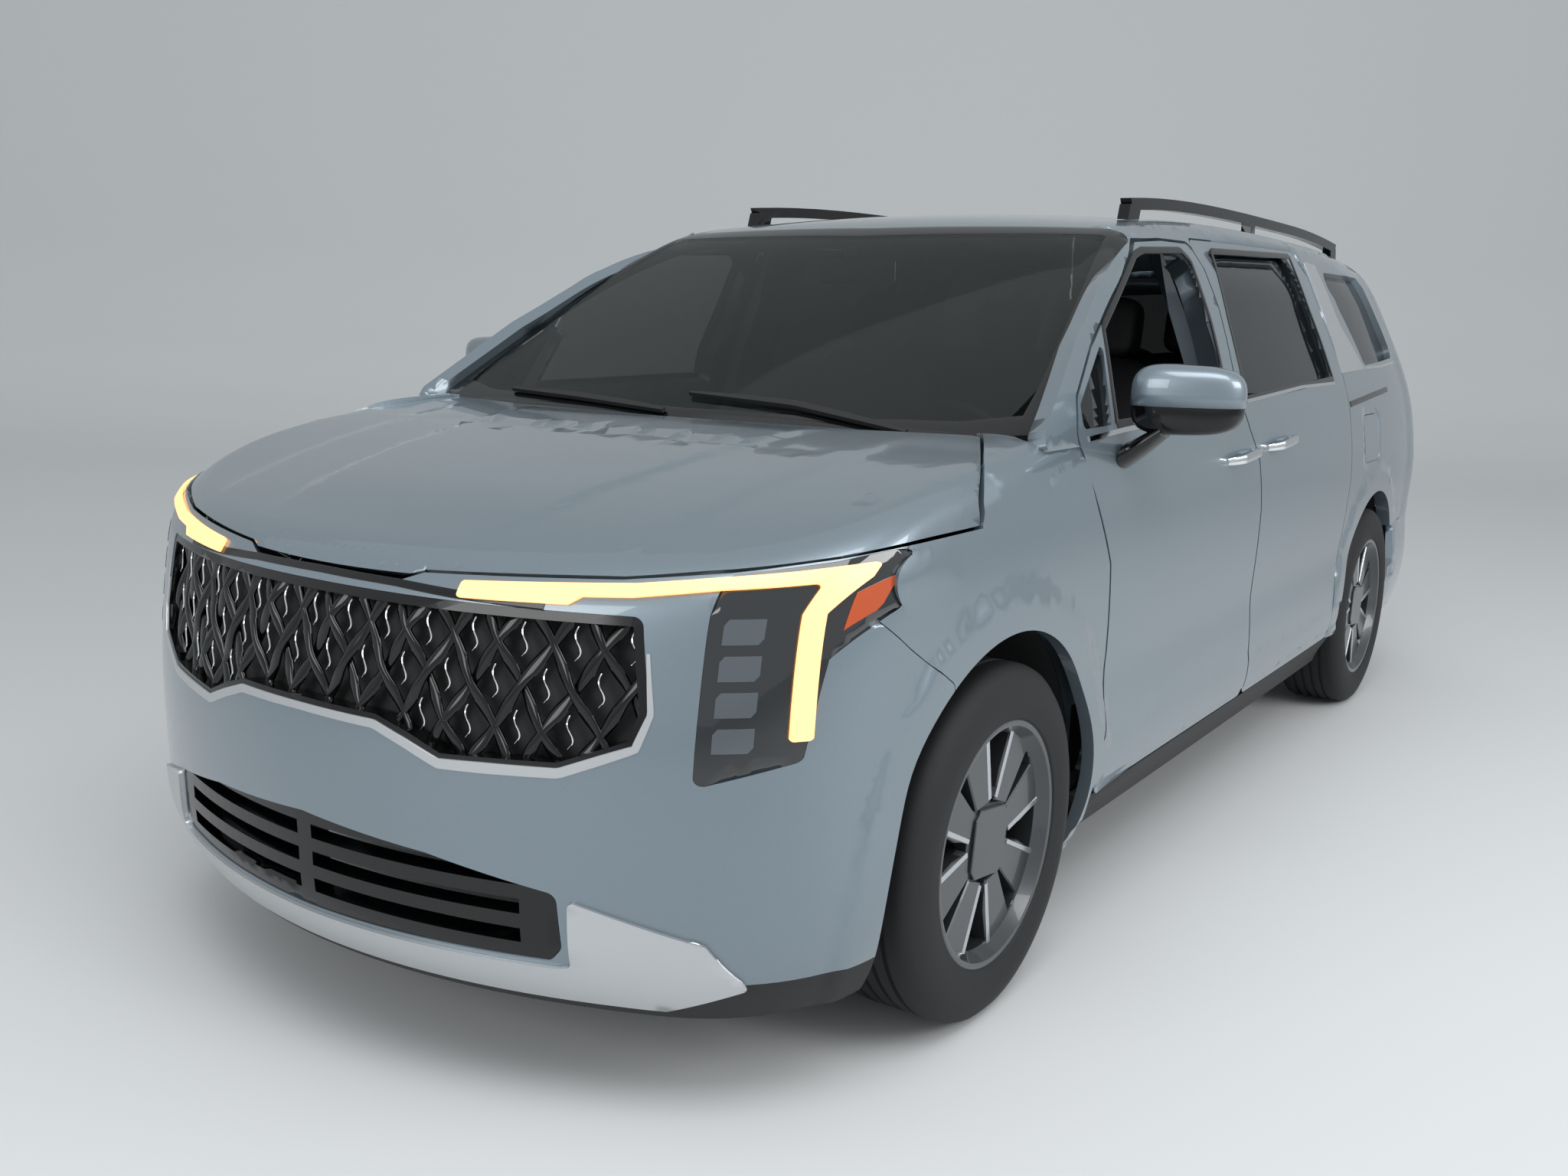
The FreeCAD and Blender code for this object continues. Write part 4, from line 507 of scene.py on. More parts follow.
def dressed(name, material, field=None, swell=no_swell, body=None, longest=0.05, angle=30):
    """Smooth stand-in for a CAD node: its copy is merged, its outer face split to short edges and put on
    the field's surface plus the swell, with that surface's own normals."""
    node = frame["nodes"][name]
    bm = bmesh.new()
    bm.from_mesh(node.data)
    bmesh.ops.remove_doubles(bm, verts=bm.verts, dist=2e-5)
    bmesh.ops.dissolve_degenerate(bm, dist=1e-5, edges=bm.edges)
    if field is not None:
        for _ in range(5):
            long = [e for e in bm.edges if e.calc_length() > longest]
            if not long:
                break
            both = np.array([[v.co[:] for v in e.verts] for e in long])
            outer = (abs(field(both)) < skin_depth).all(axis=1)
            long = [e for e, keep in zip(long, outer) if keep]
            if not long:
                break
            bmesh.ops.subdivide_edges(bm, edges=long, cuts=1, use_grid_fill=False)
            bmesh.ops.triangulate(bm, faces=bm.faces)
    mesh = bpy.data.meshes.new(name + "_skin")
    bm.to_mesh(mesh)
    bm.free()
    mesh.materials.clear()
    mesh.materials.append(material)
    mesh.shade_smooth()
    if field is not None:
        count = len(mesh.vertices)
        points = np.zeros(count * 3)
        mesh.vertices.foreach_get("co", points)
        points = points.reshape(-1, 3)
        outer = abs(field(points)) < skin_depth

        def level(p):
            return field(p) - swell(p)

        skin = points[outer]
        for _ in range(4):
            skin = skin - gradient(field, skin) * level(skin)[:, None]
        points[outer] = skin
        mesh.vertices.foreach_set("co", points.reshape(-1))
        mesh.update()
    mesh.set_sharp_from_angle(angle=math.radians(angle))
    if field is not None:
        corners = np.zeros(len(mesh.loops) * 3)
        mesh.corner_normals.foreach_get("vector", corners)
        corners = corners.reshape(-1, 3)
        vertex = np.zeros(len(mesh.loops), int)
        mesh.loops.foreach_get("vertex_index", vertex)
        direction = np.zeros((count, 3))
        direction[outer] = gradient(level, points[outer])
        mine = outer[vertex] & ((corners * direction[vertex]).sum(1) > same_face_cosine)
        corners[mine] = direction[vertex][mine]
        mesh.normals_split_custom_set(corners.tolist())
    obj = bpy.data.objects.new(name + "_skin", mesh)
    bpy.context.collection.objects.link(obj)
    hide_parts(name)
    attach(obj, body or body_of[name])
    return obj


body_of = {node: body for body, nodes in frame["record"]["behaviour"]["bodies"].items() for node in nodes}


# Painted body, glazing, lamps and trim from the CAD nodes; the painted panels, windshield and tail lamps
# each on its own stretch of the body surface
for side in ("left", "right"):
    dressed("body_side_" + side, paint, beside_roof, side_swell)
    dressed("front_door_" + side, paint, walls, side_swell)
    dressed("sliding_door_" + side, paint, walls, side_swell)
    dressed("door_triangle_" + side, privacy_glass)
dressed("front_fenders", paint, under_hood, side_swell)
dressed("hood", paint, under_hood, hood_swell)
dressed("roof_panel", paint, under_roof)
dressed("tailgate", paint, under_roof)
dressed("rear_bumper", paint, under_roof, side_swell)
dressed("fuel_flap", paint, beside_roof, side_swell)
dressed("windshield", clear_glass, under_roof)
dressed("front_window_right", clear_glass)
dressed("side_glass", privacy_glass)
dressed("tailgate_glass", privacy_glass)
dressed("headlamps", lamp_lens)
dressed("light_strips", light_guide)
dressed("tail_lamps", red_lens, under_roof)
dressed("front_skid_trim", satin_silver)
dressed("grille_surround", piano_black)
dressed("lower_grille", piano_black)
dressed("sill_cladding", cladding)
dressed("cowl_panel", cladding)

# Nose cover: painted, with its lowest edge left in plain dull black, split by height on Object coordinates
bumper_paint = paint.copy()
bumper_paint.name = "basecoat_over_black_grain"
nodes = bumper_paint.node_tree.nodes
coat_shader = nodes["Principled BSDF"]
black_shader = add(
    bumper_paint, "ShaderNodeBsdfPrincipled", [("Base Color", linear("#1b1c1d")), ("Roughness", 0.62)],
)
where = add(bumper_paint, "ShaderNodeTexCoord")
split = add(bumper_paint, "ShaderNodeSeparateXYZ", (), [((where, "Object"), 0)])
low_edge = add(
    bumper_paint, "ShaderNodeMath", [("operation", "LESS_THAN"), (1, 0.283)], [((split, 2), 0)],
)
blend_node = add(
    bumper_paint, "ShaderNodeMixShader", (),
    [((low_edge, 0), 0), ((coat_shader, 0), 1), ((black_shader, 0), 2)],
)
bumper_paint.node_tree.links.new(blend_node.outputs[0], nodes["Material Output"].inputs[0])
dressed("front_bumper", bumper_paint, under_hood, side_swell)

# Plain nodes keep their CAD meshes
plain = {
    "wheel_arch_liners": cladding,
    "floor_pan": chassis_black,
    "engine_block": cast_iron,
    "front_subframe": chassis_black,
    "rear_axle": chassis_black,
    "fuel_tank": cladding,
    "exhaust": steel_gray,
    "knuckle_left": cast_iron,
    "knuckle_right": cast_iron,
}
for name, material in plain.items():
    node = frame["nodes"][name]
    node.data.materials.clear()
    node.data.materials.append(material)
dressed("dashboard", dash_skin)
dressed("roof_rails", piano_black)
dressed("steering_wheel", dash_skin, angle=50)

# Woven grille: two families of strands cross at each diamond's corners, one over the other
grille_outline = [
    (0, 0.92), (0.664, 0.919), (0.69, 0.76), (0.672, 0.7), (0.55, 0.65), (0.33, 0.64), (0.262, 0.668),
    (0.19, 0.69), (0, 0.692),
]
grille_outline += [(-y, z) for y, z in grille_outline[-2:0:-1]]
pitch = 0.092
rise = 0.15
grille_z = 0.783
edge_room = 0.004
strand_depth = 0.024
sliver_depth = 0.020
backing_depth = 0.052


def inside(outline, y, z):
    """True where points are inside a polygon: the crossing count of a level ray is odd."""
    outline = np.array(outline)
    result = np.zeros(np.shape(y), bool)
    for (y0, z0), (y1, z1) in zip(outline, np.roll(outline, -1, axis=0)):
        if z0 == z1:
            continue
        crossing = (z0 > z) != (z1 > z)
        result ^= crossing & (y < (y1 - y0) * (z - z0) / (z1 - z0) + y0)
    return result


def grille_point(y, z, depth):
    """Points behind the nose surface by a depth along X."""
    base = on_nose(y, z)
    base[..., 0] -= depth
    return base


def strand(start_y, lean):
    """One strand: leans by half a pitch each half rise; its depth, a cosine of height, makes it weave."""
    z = np.linspace(grille_z - rise, grille_z + rise, 121)
    y = start_y + lean * (z - grille_z) / (rise / 2) * pitch / 2
    middle = inside(grille_outline, y * 1.012, z)
    middle = middle & inside(grille_outline, y, z - edge_room) & inside(grille_outline, y, z + edge_room)
    if middle.sum() < 8:
        return None
    z, y = z[middle], y[middle]
    phase = math.pi * (z - grille_z) / (rise / 2)
    depth = strand_depth + lean * 5 * mm * np.cos(phase + start_y / pitch * math.pi)
    tip = np.minimum(np.arange(len(z)), np.arange(len(z))[::-1])
    wide = (9 + 4 * np.sin(phase) ** 2) * mm * (0.7 + 0.3 * np.minimum(tip / 4, 1))
    angle = np.linspace(0, 2 * math.pi, 12, endpoint=False)
    centre = grille_point(y, z, depth)
    slope = np.array([0.0, rise / 2, -lean * pitch / 2])
    slope /= np.linalg.norm(slope)
    level = np.cos(angle)[None, :, None] * wide[:, None, None] * slope
    deep = np.sin(angle)[None, :, None] * 6 * mm * np.array([1.0, 0, 0])
    return swept(centre[:, None, :] + (level + deep))


strands = [strand(i * pitch, lean) for i in np.arange(-9, 9.5, 1.0) for lean in (-1, 1)]
weave = mesh_object(
    "woven_grille", *joined([s for s in strands if s]), piano_black, "body", "gloss_black", angle=60,
)
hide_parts("grille_lattice")


def sliver(y0, z0):
    """Bright leaf in a diamond: half width a sine of height, tilted to catch light."""
    t = np.linspace(0, 1, 14)
    z = z0 + (t - 0.5) * 0.058
    y = y0 + 0.006 * np.sin(2 * math.pi * t)
    if not inside(grille_outline, y, z).all():
        return None
    wide = 7 * mm * np.sin(math.pi * t) + 0.4 * mm
    centre = grille_point(y, z, sliver_depth)
    angle = np.linspace(0, 2 * math.pi, 8, endpoint=False)
    level = np.cos(angle)[None, :, None] * wide[:, None, None] * np.array([0.45, 0.9, 0])
    deep = np.sin(angle)[None, :, None] * 2 * mm * np.array([1.0, -0.4, 0])
    return swept(centre[:, None, :] + (level + deep))


slivers = []
for row in range(-3, 4):
    for i in np.arange(-9, 9.5):
        slivers.append(sliver((i + 0.5 * ((row + 1) % 2)) * pitch, grille_z + row * rise / 2 + 0.006))
mesh_object("grille_slivers", *joined([s for s in slivers if s]), chrome, "body", "satin_trim")

# Dark panel behind the grille
backing = plate(
    grille_outline, lambda y, z: grille_point(y, z, backing_depth), under_hood, 1 * mm, 2 * mm, 12,
)
mesh_object("grille_backing", *backing, cladding, "body", "black_plastic")

# Bright blade along the grille's lower edge, rising at both ends
blade_edge = [
    (0.679, 0.86), (0.692, 0.76), (0.672, 0.7), (0.55, 0.648), (0.33, 0.638), (0.262, 0.664),
    (0.19, 0.688), (0.0, 0.69),
]
blade_line = band(
    blade_edge + [(-y, z) for y, z in blade_edge[-2::-1]],
    [0.006, 0.017, 0.02, 0.017, 0.015, 0.017, 0.02, 0.017, 0.006], 2 * mm, on_nose, under_hood, 200,
)
mesh_object("grille_blade", *blade_line, satin_silver, "body", "satin_trim")

# Black strip between hood and grille, over the nose surface
brow = [(0.0, 0.938), (0.2, 0.936), (0.33, 0.93), (0.5, 0.926)]
brow_band = band(
    [(-y, z) for y, z in brow[::-1]] + brow[1:], [0.016, 0.012, 0.012, 0.016], 1.2 * mm, on_nose,
    under_hood, 90,
)
mesh_object("brow_strip", *brow_band, piano_black, "body", "gloss_black")

# Lamp details: reflector modules behind the lens edge, amber side reflector
modules = []
for z0 in (0.70, 0.76, 0.82, 0.88):
    modules.append(
        plate(
            [(0.785, z0), (0.84, z0 + 0.002), (0.84, z0 + 0.044), (0.785, z0 + 0.042)], on_nose,
            under_hood, 0.6 * mm, 4.5 * mm, 4, 3,
        )
    )
mesh_object("lamp_modules", *twin(joined(modules)), lamp_reflector, "body", "lamp_lens")
side_amber = plate(
    [(0.925, 0.9), (0.952, 0.93), (0.958, 0.985), (0.93, 0.96)], on_nose, under_hood, 0.6 * mm, 4.5 * mm,
    4, 4,
)
mesh_object("lamp_side_reflectors", *twin(side_amber), amber, "body", "light_strip")

# Side trim: chrome belt, slider rail, D-pillar blade, door handles
trim_height = 2.5 * mm
belt_path = [(-0.90, 1.222), (-0.49, 1.222), (0.1, 1.200)]
sided("slider_belt", band(belt_path, 0.011, trim_height, on_side, walls), chrome, shell, "satin_trim")
door_belt = [(0.222, 1.187), (0.6, 1.182), (1.02, 1.172), (1.235, 1.163)]
sided("door_belt", band(door_belt, 0.012, trim_height, on_side, walls), chrome, front_doors, "satin_trim")
quarter_belt = [(-1.42, 1.262), (-1.7, 1.262), (-2.03, 1.272)]
mesh_object(
    "quarter_belts", *twin(band(quarter_belt, 0.010, trim_height, on_side, walls)), chrome, "body",
    "satin_trim",
)
slider_rail = [(-1.06, 1.146), (-1.4, 1.163), (-1.712, 1.177)]
mesh_object(
    "slider_rails", *twin(band(slider_rail, 0.020, 2 * mm, on_side, walls)), piano_black, "body",
    "gloss_black",
)
blade_shape = plate(
    [(-1.035, 1.252), (-1.40, 1.258), (-1.215, 1.42), (-1.175, 1.622), (-1.03, 1.63), (-1.025, 1.42)],
    on_side, walls, trim_height,
)
mesh_object("pillar_blades", *twin(blade_shape), satin_silver, "body", "satin_trim")


# Millimetres: how deep a handle's feet go, and how far it bows from them
foot_sink = 3
bow_out = 37


def handle(x0, x1, z0, z1):
    """Pull handle: a bar of rounded oblong section that bows out from the door between two feet."""
    t = np.linspace(0, 1, 31)
    x = x0 + (x1 - x0) * t
    z = z0 + (z1 - z0) * t
    base = on_side(x, z)
    normal = gradient(walls, base)
    bow = (-foot_sink + bow_out * np.minimum(np.sin(math.pi * t) * 1.9, 1) ** 0.8) * mm
    angle = np.linspace(0, 2 * math.pi, 16, endpoint=False)
    along = np.sign(np.cos(angle)) * abs(np.cos(angle)) ** 0.7
    out = np.sign(np.sin(angle)) * abs(np.sin(angle)) ** 0.7
    tall = (9 + 5 * np.sin(math.pi * t) ** 0.5) * mm
    level = along[None, :, None] * tall[:, None, None] * np.array([0, 0, 1.0])
    deep = out[None, :, None] * 7 * mm * normal[:, None, :]
    return swept((base + normal * bow[:, None])[:, None, :] + (level + deep))


front_handle = handle(0.335, 0.115, 1.048, 1.062)
slider_handle = handle(-0.035, -0.255, 1.062, 1.076)
sided("front_handle", front_handle, chrome, front_doors, "satin_trim")
mesh_object("slider_handles", *twin(slider_handle), chrome, "body", "satin_trim")

# Window surrounds in black over the doors
window_edge = [
    (1.062, 1.186), (0.986, 1.400), (0.930, 1.428), (0.621, 1.580), (0.557, 1.594), (0.255, 1.608),
    (0.206, 1.582), (0.214, 1.418), (0.240, 1.285), (0.226, 1.196),
]
seal_width = 0.018
seal_height = 1.2 * mm
seal = band(window_edge + window_edge[:1], seal_width, seal_height, on_side, walls, 160)
sided("window_seal", seal, piano_black, front_doors, "gloss_black")
slider_edge = [
    (0.095, 1.206), (0.06, 1.418), (-0.01, 1.618), (-0.864, 1.640), (-0.860, 1.475), (-0.905, 1.236),
]
slider_seal = band(slider_edge + slider_edge[:1], seal_width, seal_height, on_side, walls, 160)
mesh_object("slider_seals", *twin(slider_seal), piano_black, "body", "gloss_black")

# Windshield's printed border, over the pane's edge
glass_edge = [
    (1.474, 0.0), (1.458, 0.45), (1.424, 0.72), (1.372, 0.875), (1.242, 0.862), (1.073, 0.831),
    (0.877, 0.792), (0.615, 0.735), (0.60, 0.70), (0.618, 0.4), (0.638, 0.0),
]
glass_loop = glass_edge + [(x, -y) for x, y in glass_edge[-2::-1]]
border = band(glass_loop, 0.062, 0.6 * mm, on_glass, under_roof, 240, 0.2 * mm)
mesh_object("windshield_border", *border, piano_black, "body", "gloss_black")
lower_border = band(
    [(1.452, -0.72), (1.47, -0.4), (1.468, 0.0), (1.47, 0.4), (1.452, 0.72)], 0.05, 0.9 * mm, on_glass,
    under_roof, 60, 0.2 * mm,
)
mesh_object("windshield_foot", *lower_border, piano_black, "body", "gloss_black")


def wiper(points):
    """Wiper arm and blade lying on the glass along a path."""
    return band(points, [0.012, 0.018, 0.02, 0.016, 0.008], 14 * mm, on_glass, under_roof, 40, -4 * mm)


wipers = joined(
    [
        wiper([(1.455, 0.62), (1.41, 0.3), (1.40, -0.02)]),
        wiper([(1.465, -0.05), (1.43, -0.35), (1.405, -0.62)]),
    ]
)
mesh_object("wipers", *wipers, cladding, "body", "black_plastic")


# Door mirrors: housing, cap and foot
def mirror_parts():
    """Housing: a superquadric swept back at its outer end; the cap is its upper half, 1 mm proud."""
    centre = np.array([1.045, 1.088, 1.246])
    size = np.array([0.125, 0.236, 0.162])
    points, faces = pillow(size, (0.55, 0.62), 40, 56)
    flat = points.reshape(-1, 3).copy()
    out = flat[:, 1] / size[1] + 0.5
    flat[:, 0] = flat[:, 0] * (1 - 0.25 * out) - 0.035 * out**2
    flat[:, 0] = np.maximum(flat[:, 0], -0.052)
    flat[:, 2] *= 1 - 0.12 * out
    return flat + centre, faces, centre


mirror_points, mirror_faces, mirror_centre = mirror_parts()
mirror_front = mirror_points[:, 0].min()


def mirror_layer(name, keep, grow, material, slot_name):
    """Part of the housing where keep is true, moved out by grow."""
    flat = mirror_centre + (mirror_points - mirror_centre) * (1 + grow)
    faces = [f for f in mirror_faces if keep(flat[list(f)].mean(axis=0))]
    used = sorted({i for f in faces for i in f})
    index = {old: new for new, old in enumerate(used)}
    part = flat[used], [[index[i] for i in f] for f in faces]
    for side in ("left", "right"):
        obj = mesh_object(
            name + "_" + side, *(part if side == "left" else mirrored(part)), material,
            "front_door_" + side, slot_name, angle=50,
        )
        if len(faces) < len(mirror_faces):
            wall = obj.modifiers.new("wall", "SOLIDIFY")
            wall.thickness = 1.5 * mm
            wall.offset = 1 if name != "mirror_glass" else 0
        else:
            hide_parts("mirror_" + side)


mirror_layer("mirror_housing", lambda p: True, 0.0, piano_black, "mirror_shell")
mirror_layer(
    "mirror_cap", lambda p: p[2] > mirror_centre[2] - 0.012 and p[0] > mirror_front + 6 * mm, 0.004,
    paint, "mirror_shell",
)
foot_path = np.array(
    [[1.05, 0.962, 1.115], [1.052, 0.985, 1.13], [1.052, 1.02, 1.155], [1.05, 1.05, 1.18]]
)
foot_size = np.array([[0.055, 0.03], [0.05, 0.028], [0.045, 0.024], [0.04, 0.02]])
turn = np.linspace(0, 2 * math.pi, 20, endpoint=False)
foot_rings = foot_path[:, None, :] + np.stack(
    [
        np.cos(turn)[None] * foot_size[:, :1], np.zeros((len(foot_size), len(turn))),
        np.sin(turn)[None] * foot_size[:, 1:],
    ], -1
)
sided("mirror_foot", swept(foot_rings), piano_black, front_doors, "gloss_black", 50)


# Wheels: tyre with grooves, rim barrel, square cover and forked spokes
def tyre_part(centre):
    """Tyre: a section of rounded walls and a grooved tread turned about the axle."""
    half = tyre_width / 2
    bead = 0.2415
    wall = tyre_radius - bead
    flank_shares = [
        (0, -0.84), (0.12, -0.93), (0.14, -0.95), (0.3, -0.98), (0.5, -1.0), (0.7, -0.965), (0.86, -0.9),
    ]
    left = [(bead + wall * rise_share, offset) for rise_share, offset in flank_shares]
    left += [(tyre_radius - 5 * mm, -0.8), (tyre_radius - 1 * mm, -0.7), (tyre_radius, -0.62)]
    grooves = []
    for middle in (-0.42, -0.14, 0.14, 0.42):
        for offset, depth in ((-0.05, 0), (-0.035, 7), (0.035, 7), (0.05, 0)):
            grooves.append((tyre_radius - depth * mm, middle + offset))
    section = left + grooves + [(r, -y) for r, y in left[::-1]]
    section.append((bead, 0.0))
    return turned([(r, y * half) for r, y in section], centre, 160)


def prism(outline, y0, y1, bevel, centre):
    """Prism on an outline in the wheel's plane from y0 to y1, its outer face drawn in by a bevel."""
    outline = np.array(outline, float)
    middle = outline.mean(axis=0)
    along = np.roll(outline, -1, axis=0) - np.roll(outline, 1, axis=0)
    inward = np.stack([-along[:, 1], along[:, 0]], -1)
    inward /= np.linalg.norm(inward, axis=1, keepdims=True)
    if ((middle - outline) * inward).sum() < 0:
        inward = -inward
    levels = [(0.0, y0), (0.0, y1 - bevel), (bevel, y1)]
    sections = []
    for drawn_in, y in levels:
        edge = outline + inward * drawn_in
        sections.append(
            np.stack(
                [edge[:, 0] + centre[0], np.full(len(edge), y + centre[1]), edge[:, 1] + centre[2]], -1,
            )
        )
    return swept(np.array(sections))


def spun(outline, angle):
    """An outline in the wheel's plane turned about the axle."""
    c, s = math.cos(angle), math.sin(angle)
    return [(x * c - z * s, x * s + z * c) for x, z in outline]


# Wheel face: distance out from the wheel's middle, and the square cover's turn in degrees
wheel_face = 0.048
cover_turn = 8
cover_radius = 0.102
chamfer_share = 0.14
foot_share = 1.12


def wheel(corner, centre, outward):
    """All of one wheel on its own body."""
    body = "wheel_" + corner
    tyre = mesh_object("tyre_tread_" + corner, *tyre_part(centre), rubber, body, "tyre", angle=30)
    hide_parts("tyre_" + corner)
    edge = tyre_width / 2 * 0.84 + 0.0003
    barrel = [
        (0.226, -edge - 0.01), (0.257, -edge - 0.01), (0.257, -edge), (0.241, -edge), (0.241, edge),
        (0.257, edge), (0.257, edge + 0.008), (0.25, edge + 0.01), (0.243, edge + 0.008),
        (0.232, edge - 0.012), (0.226, edge - 0.02),
    ]
    rim = mesh_object(
        "rim_barrel_" + corner, *turned([(r, y * outward) for r, y in barrel], centre), charcoal_alloy,
        body, "wheel_alloy", angle=35,
    )
    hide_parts("rim_" + corner)
    face = wheel_face
    cover, arms, edges = [], [], []
    for k in range(4):
        turn_by = k * math.pi / 2 + math.radians(cover_turn)
        for fork in (-1, 1):
            arm = [
                (0.010 * fork, 0.084), (0.066 * fork, 0.070), (0.140 * fork, 0.170),
                (0.172 * fork, 0.158), (0.150 * fork, 0.188), (0.106 * fork, 0.2165),
                (0.056 * fork, 0.234), (0.020 * fork, 0.150),
            ]
            arms.append(prism(spun(arm, turn_by)[::fork], face - 0.02, face + 0.034, 3 * mm, (0, 0, 0)))
            lip = [
                (0.008 * fork, 0.092), (0.019 * fork, 0.088), (0.066 * fork, 0.228),
                (0.054 * fork, 0.2325),
            ]
            edges.append(
                prism(spun(lip, turn_by)[::fork], face + 0.01, face + 0.036, 1.5 * mm, (0, 0, 0))
            )
    turns = np.radians([45 + 90 * k + cover_turn for k in range(4)])
    square = [(cover_radius * math.cos(a), cover_radius * math.sin(a)) for a in turns]
    chamfered = []
    for (x0, z0), (x1, z1) in zip(square, square[1:] + square[:1]):
        step_x, step_z = (x1 - x0) * chamfer_share, (z1 - z0) * chamfer_share
        chamfered += [(x0 + step_x, z0 + step_z), (x1 - step_x, z1 - step_z)]
    grown = [(x * foot_share, z * foot_share) for x, z in chamfered]
    cover.append(prism(grown, face, face + 0.030, 4 * mm, (0, 0, 0)))
    cover.append(prism(chamfered, face + 0.01, face + 0.040, 2 * mm, (0, 0, 0)))
    for label, parts, material in (
        ("spokes", arms, charcoal_alloy), ("cover", cover, charcoal_alloy),
        ("spoke_edges", edges, machined_alloy),
    ):
        points, faces = joined(parts)
        points = points * [1, outward, 1] + np.array(centre)
        mesh_object("rim_%s_%s" % (label, corner), points, faces, material, body, "wheel_alloy", angle=20)
    disc = [
        (0.162, -0.010), (0.162, 0.018), (0.07, 0.018), (0.07, 0.046), (0.034, 0.046), (0.034, -0.010),
    ]
    mesh_object(
        "brake_disc_" + corner, *turned([(r, y * outward) for r, y in disc], centre), steel_gray, body,
        "wheel_alloy", angle=35,
    )


for corner, x, outward in (
    ("front_left", front_axle, 1), ("front_right", front_axle, -1), ("rear_left", rear_axle, 1),
    ("rear_right", rear_axle, -1),
):
    wheel(corner, (x, wheel_y * outward, axle_z), outward)


# Seats: cushions, backs and headrests as crowned pads on plinths
def tilted(points, centre, lean):
    """Points turned about Y by lean, then moved to a centre."""
    c, s = math.cos(lean), math.sin(lean)
    x, z = points[..., 0] * c + points[..., 2] * s, -points[..., 0] * s + points[..., 2] * c
    return np.stack([x, points[..., 1], z], -1) + np.array(centre)


def pad(name, size, centre, lean, crown=0.12):
    """Stitched pad: a crowned cushion with two seams pressed in along its length."""
    points, faces = pillow(size, (0.42, 0.35), 30, 56, crown)
    seam = 1 - 0.035 * np.exp(-((abs(points[..., 1]) / size[1] - 0.27) / 0.012) ** 2)
    points[..., 2] *= seam
    obj = mesh_object(
        name, tilted(points, centre, lean).reshape(-1, 3), faces, seat_hide, "body", "seat_fabric",
        angle=70,
    )
    soft = obj.modifiers.new("soft", "SUBSURF")
    soft.levels = soft.render_levels = 1
    return obj


def seat(name, front, y, width):
    """One seat: pad, back, headrest and plinth."""
    first = pad(name + "_cushion", (0.5, width, 0.13), (front - 0.25, y, 0.665), math.radians(3))
    pad(name + "_back", (0.13, width * 0.94, 0.62), (front - 0.585, y, 1.0), math.radians(-18), 0.0)
    pad(
        name + "_headrest", (0.10, min(width * 0.5, 0.27), 0.19), (front - 0.715, y, 1.39),
        math.radians(-10), 0.0,
    )
    base = np.array(
        [(front - 0.42, 0.332), (front - 0.10, 0.332), (front - 0.12, 0.61), (front - 0.42, 0.60)]
    )
    sections = np.stack(
        [np.stack([base[:, 0], np.full(4, y + w), base[:, 1]], -1) for w in (-width * 0.36, width * 0.36)]
    )
    mesh_object(name + "_plinth", *swept(sections), cladding, "body", "seat_fabric", False)
    return first


single_width = 0.5
bench_width = 0.6
for label, node, front in (("front_seat", "front_seats", 0.56), ("middle_seat", "middle_seats", -0.38)):
    pair = [
        seat(label + side, front, y, single_width) for side, y in (("_left", 0.39), ("_right", -0.39))
    ]
    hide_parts(node)
bench = [seat("bench" + side, -1.25, y, bench_width) for side, y in (("_left", 0.31), ("_right", -0.31))]
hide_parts("rear_bench")


# Dashboard's screen, column and interior mirror
def slab(low, high, material, name, body="body", slot_name="dash_plastic"):
    """Plain box between two corners, with its edges rounded."""
    low, high = np.array(low), np.array(high)
    xs = np.array([[low[0], low[1]], [high[0], low[1]], [high[0], high[1]], [low[0], high[1]]])
    sections = np.stack([np.column_stack([xs, np.full(4, z)]) for z in (low[2], high[2])])
    obj = mesh_object(name, *swept(sections), material, body, slot_name, False)
    soft = obj.modifiers.new("edge", "BEVEL")
    soft.width = min(high - low) * 0.3
    soft.segments = 3
    return obj


slab((0.93, -0.18, 1.045), (0.945, 0.62, 1.155), screen_glass, "twin_screen")
slab((0.905, -0.10, 0.72), (1.0, 0.10, 0.95), piano_black, "centre_stack")
slab((0.66, -0.115, 1.505), (0.675, 0.115, 1.565), mirror_silver, "interior_mirror")
slab((0.676, -0.12, 1.50), (0.70, 0.12, 1.57), cladding, "interior_mirror_shell")
slab((0.69, -0.02, 1.56), (0.73, 0.02, 1.60), cladding, "interior_mirror_stem")

# Tail: lamp bar, plate recess, black apron, silver skid and rear wiper
bar = band(
    [(-0.66, 1.055), (-0.3, 1.062), (0.0, 1.064), (0.3, 1.062), (0.66, 1.055)], 0.022, 3 * mm, on_tail,
    under_roof, 80,
)
mesh_object("tail_light_bar", *bar, red_lens, "tailgate", "tail_lens")
recess = plate(
    [(-0.27, 0.82), (0.27, 0.82), (0.27, 0.95), (-0.27, 0.95)], on_tail, under_roof, 1.5 * mm, 2 * mm, 6,
    10,
)
mesh_object("plate_recess", *recess, cladding, "tailgate", "black_plastic")
apron = plate(
    [(-0.72, 0.262), (0.72, 0.262), (0.66, 0.42), (-0.66, 0.42)], on_tail, under_roof, 3 * mm, 2 * mm, 8,
    12,
)
mesh_object("rear_apron", *apron, cladding, "body", "black_plastic")
rear_skid = band([(-0.52, 0.30), (0.0, 0.292), (0.52, 0.30)], 0.035, 6 * mm, on_tail, under_roof, 60)
mesh_object("rear_skid", *rear_skid, satin_silver, "body", "satin_trim")
rear_wiper = band(
    [(-0.02, 1.19), (0.18, 1.205), (0.40, 1.235)], [0.016, 0.012, 0.006], 10 * mm, on_tail, under_roof,
    30, -3 * mm,
)
mesh_object("rear_wiper", *rear_wiper, cladding, "tailgate", "black_plastic")

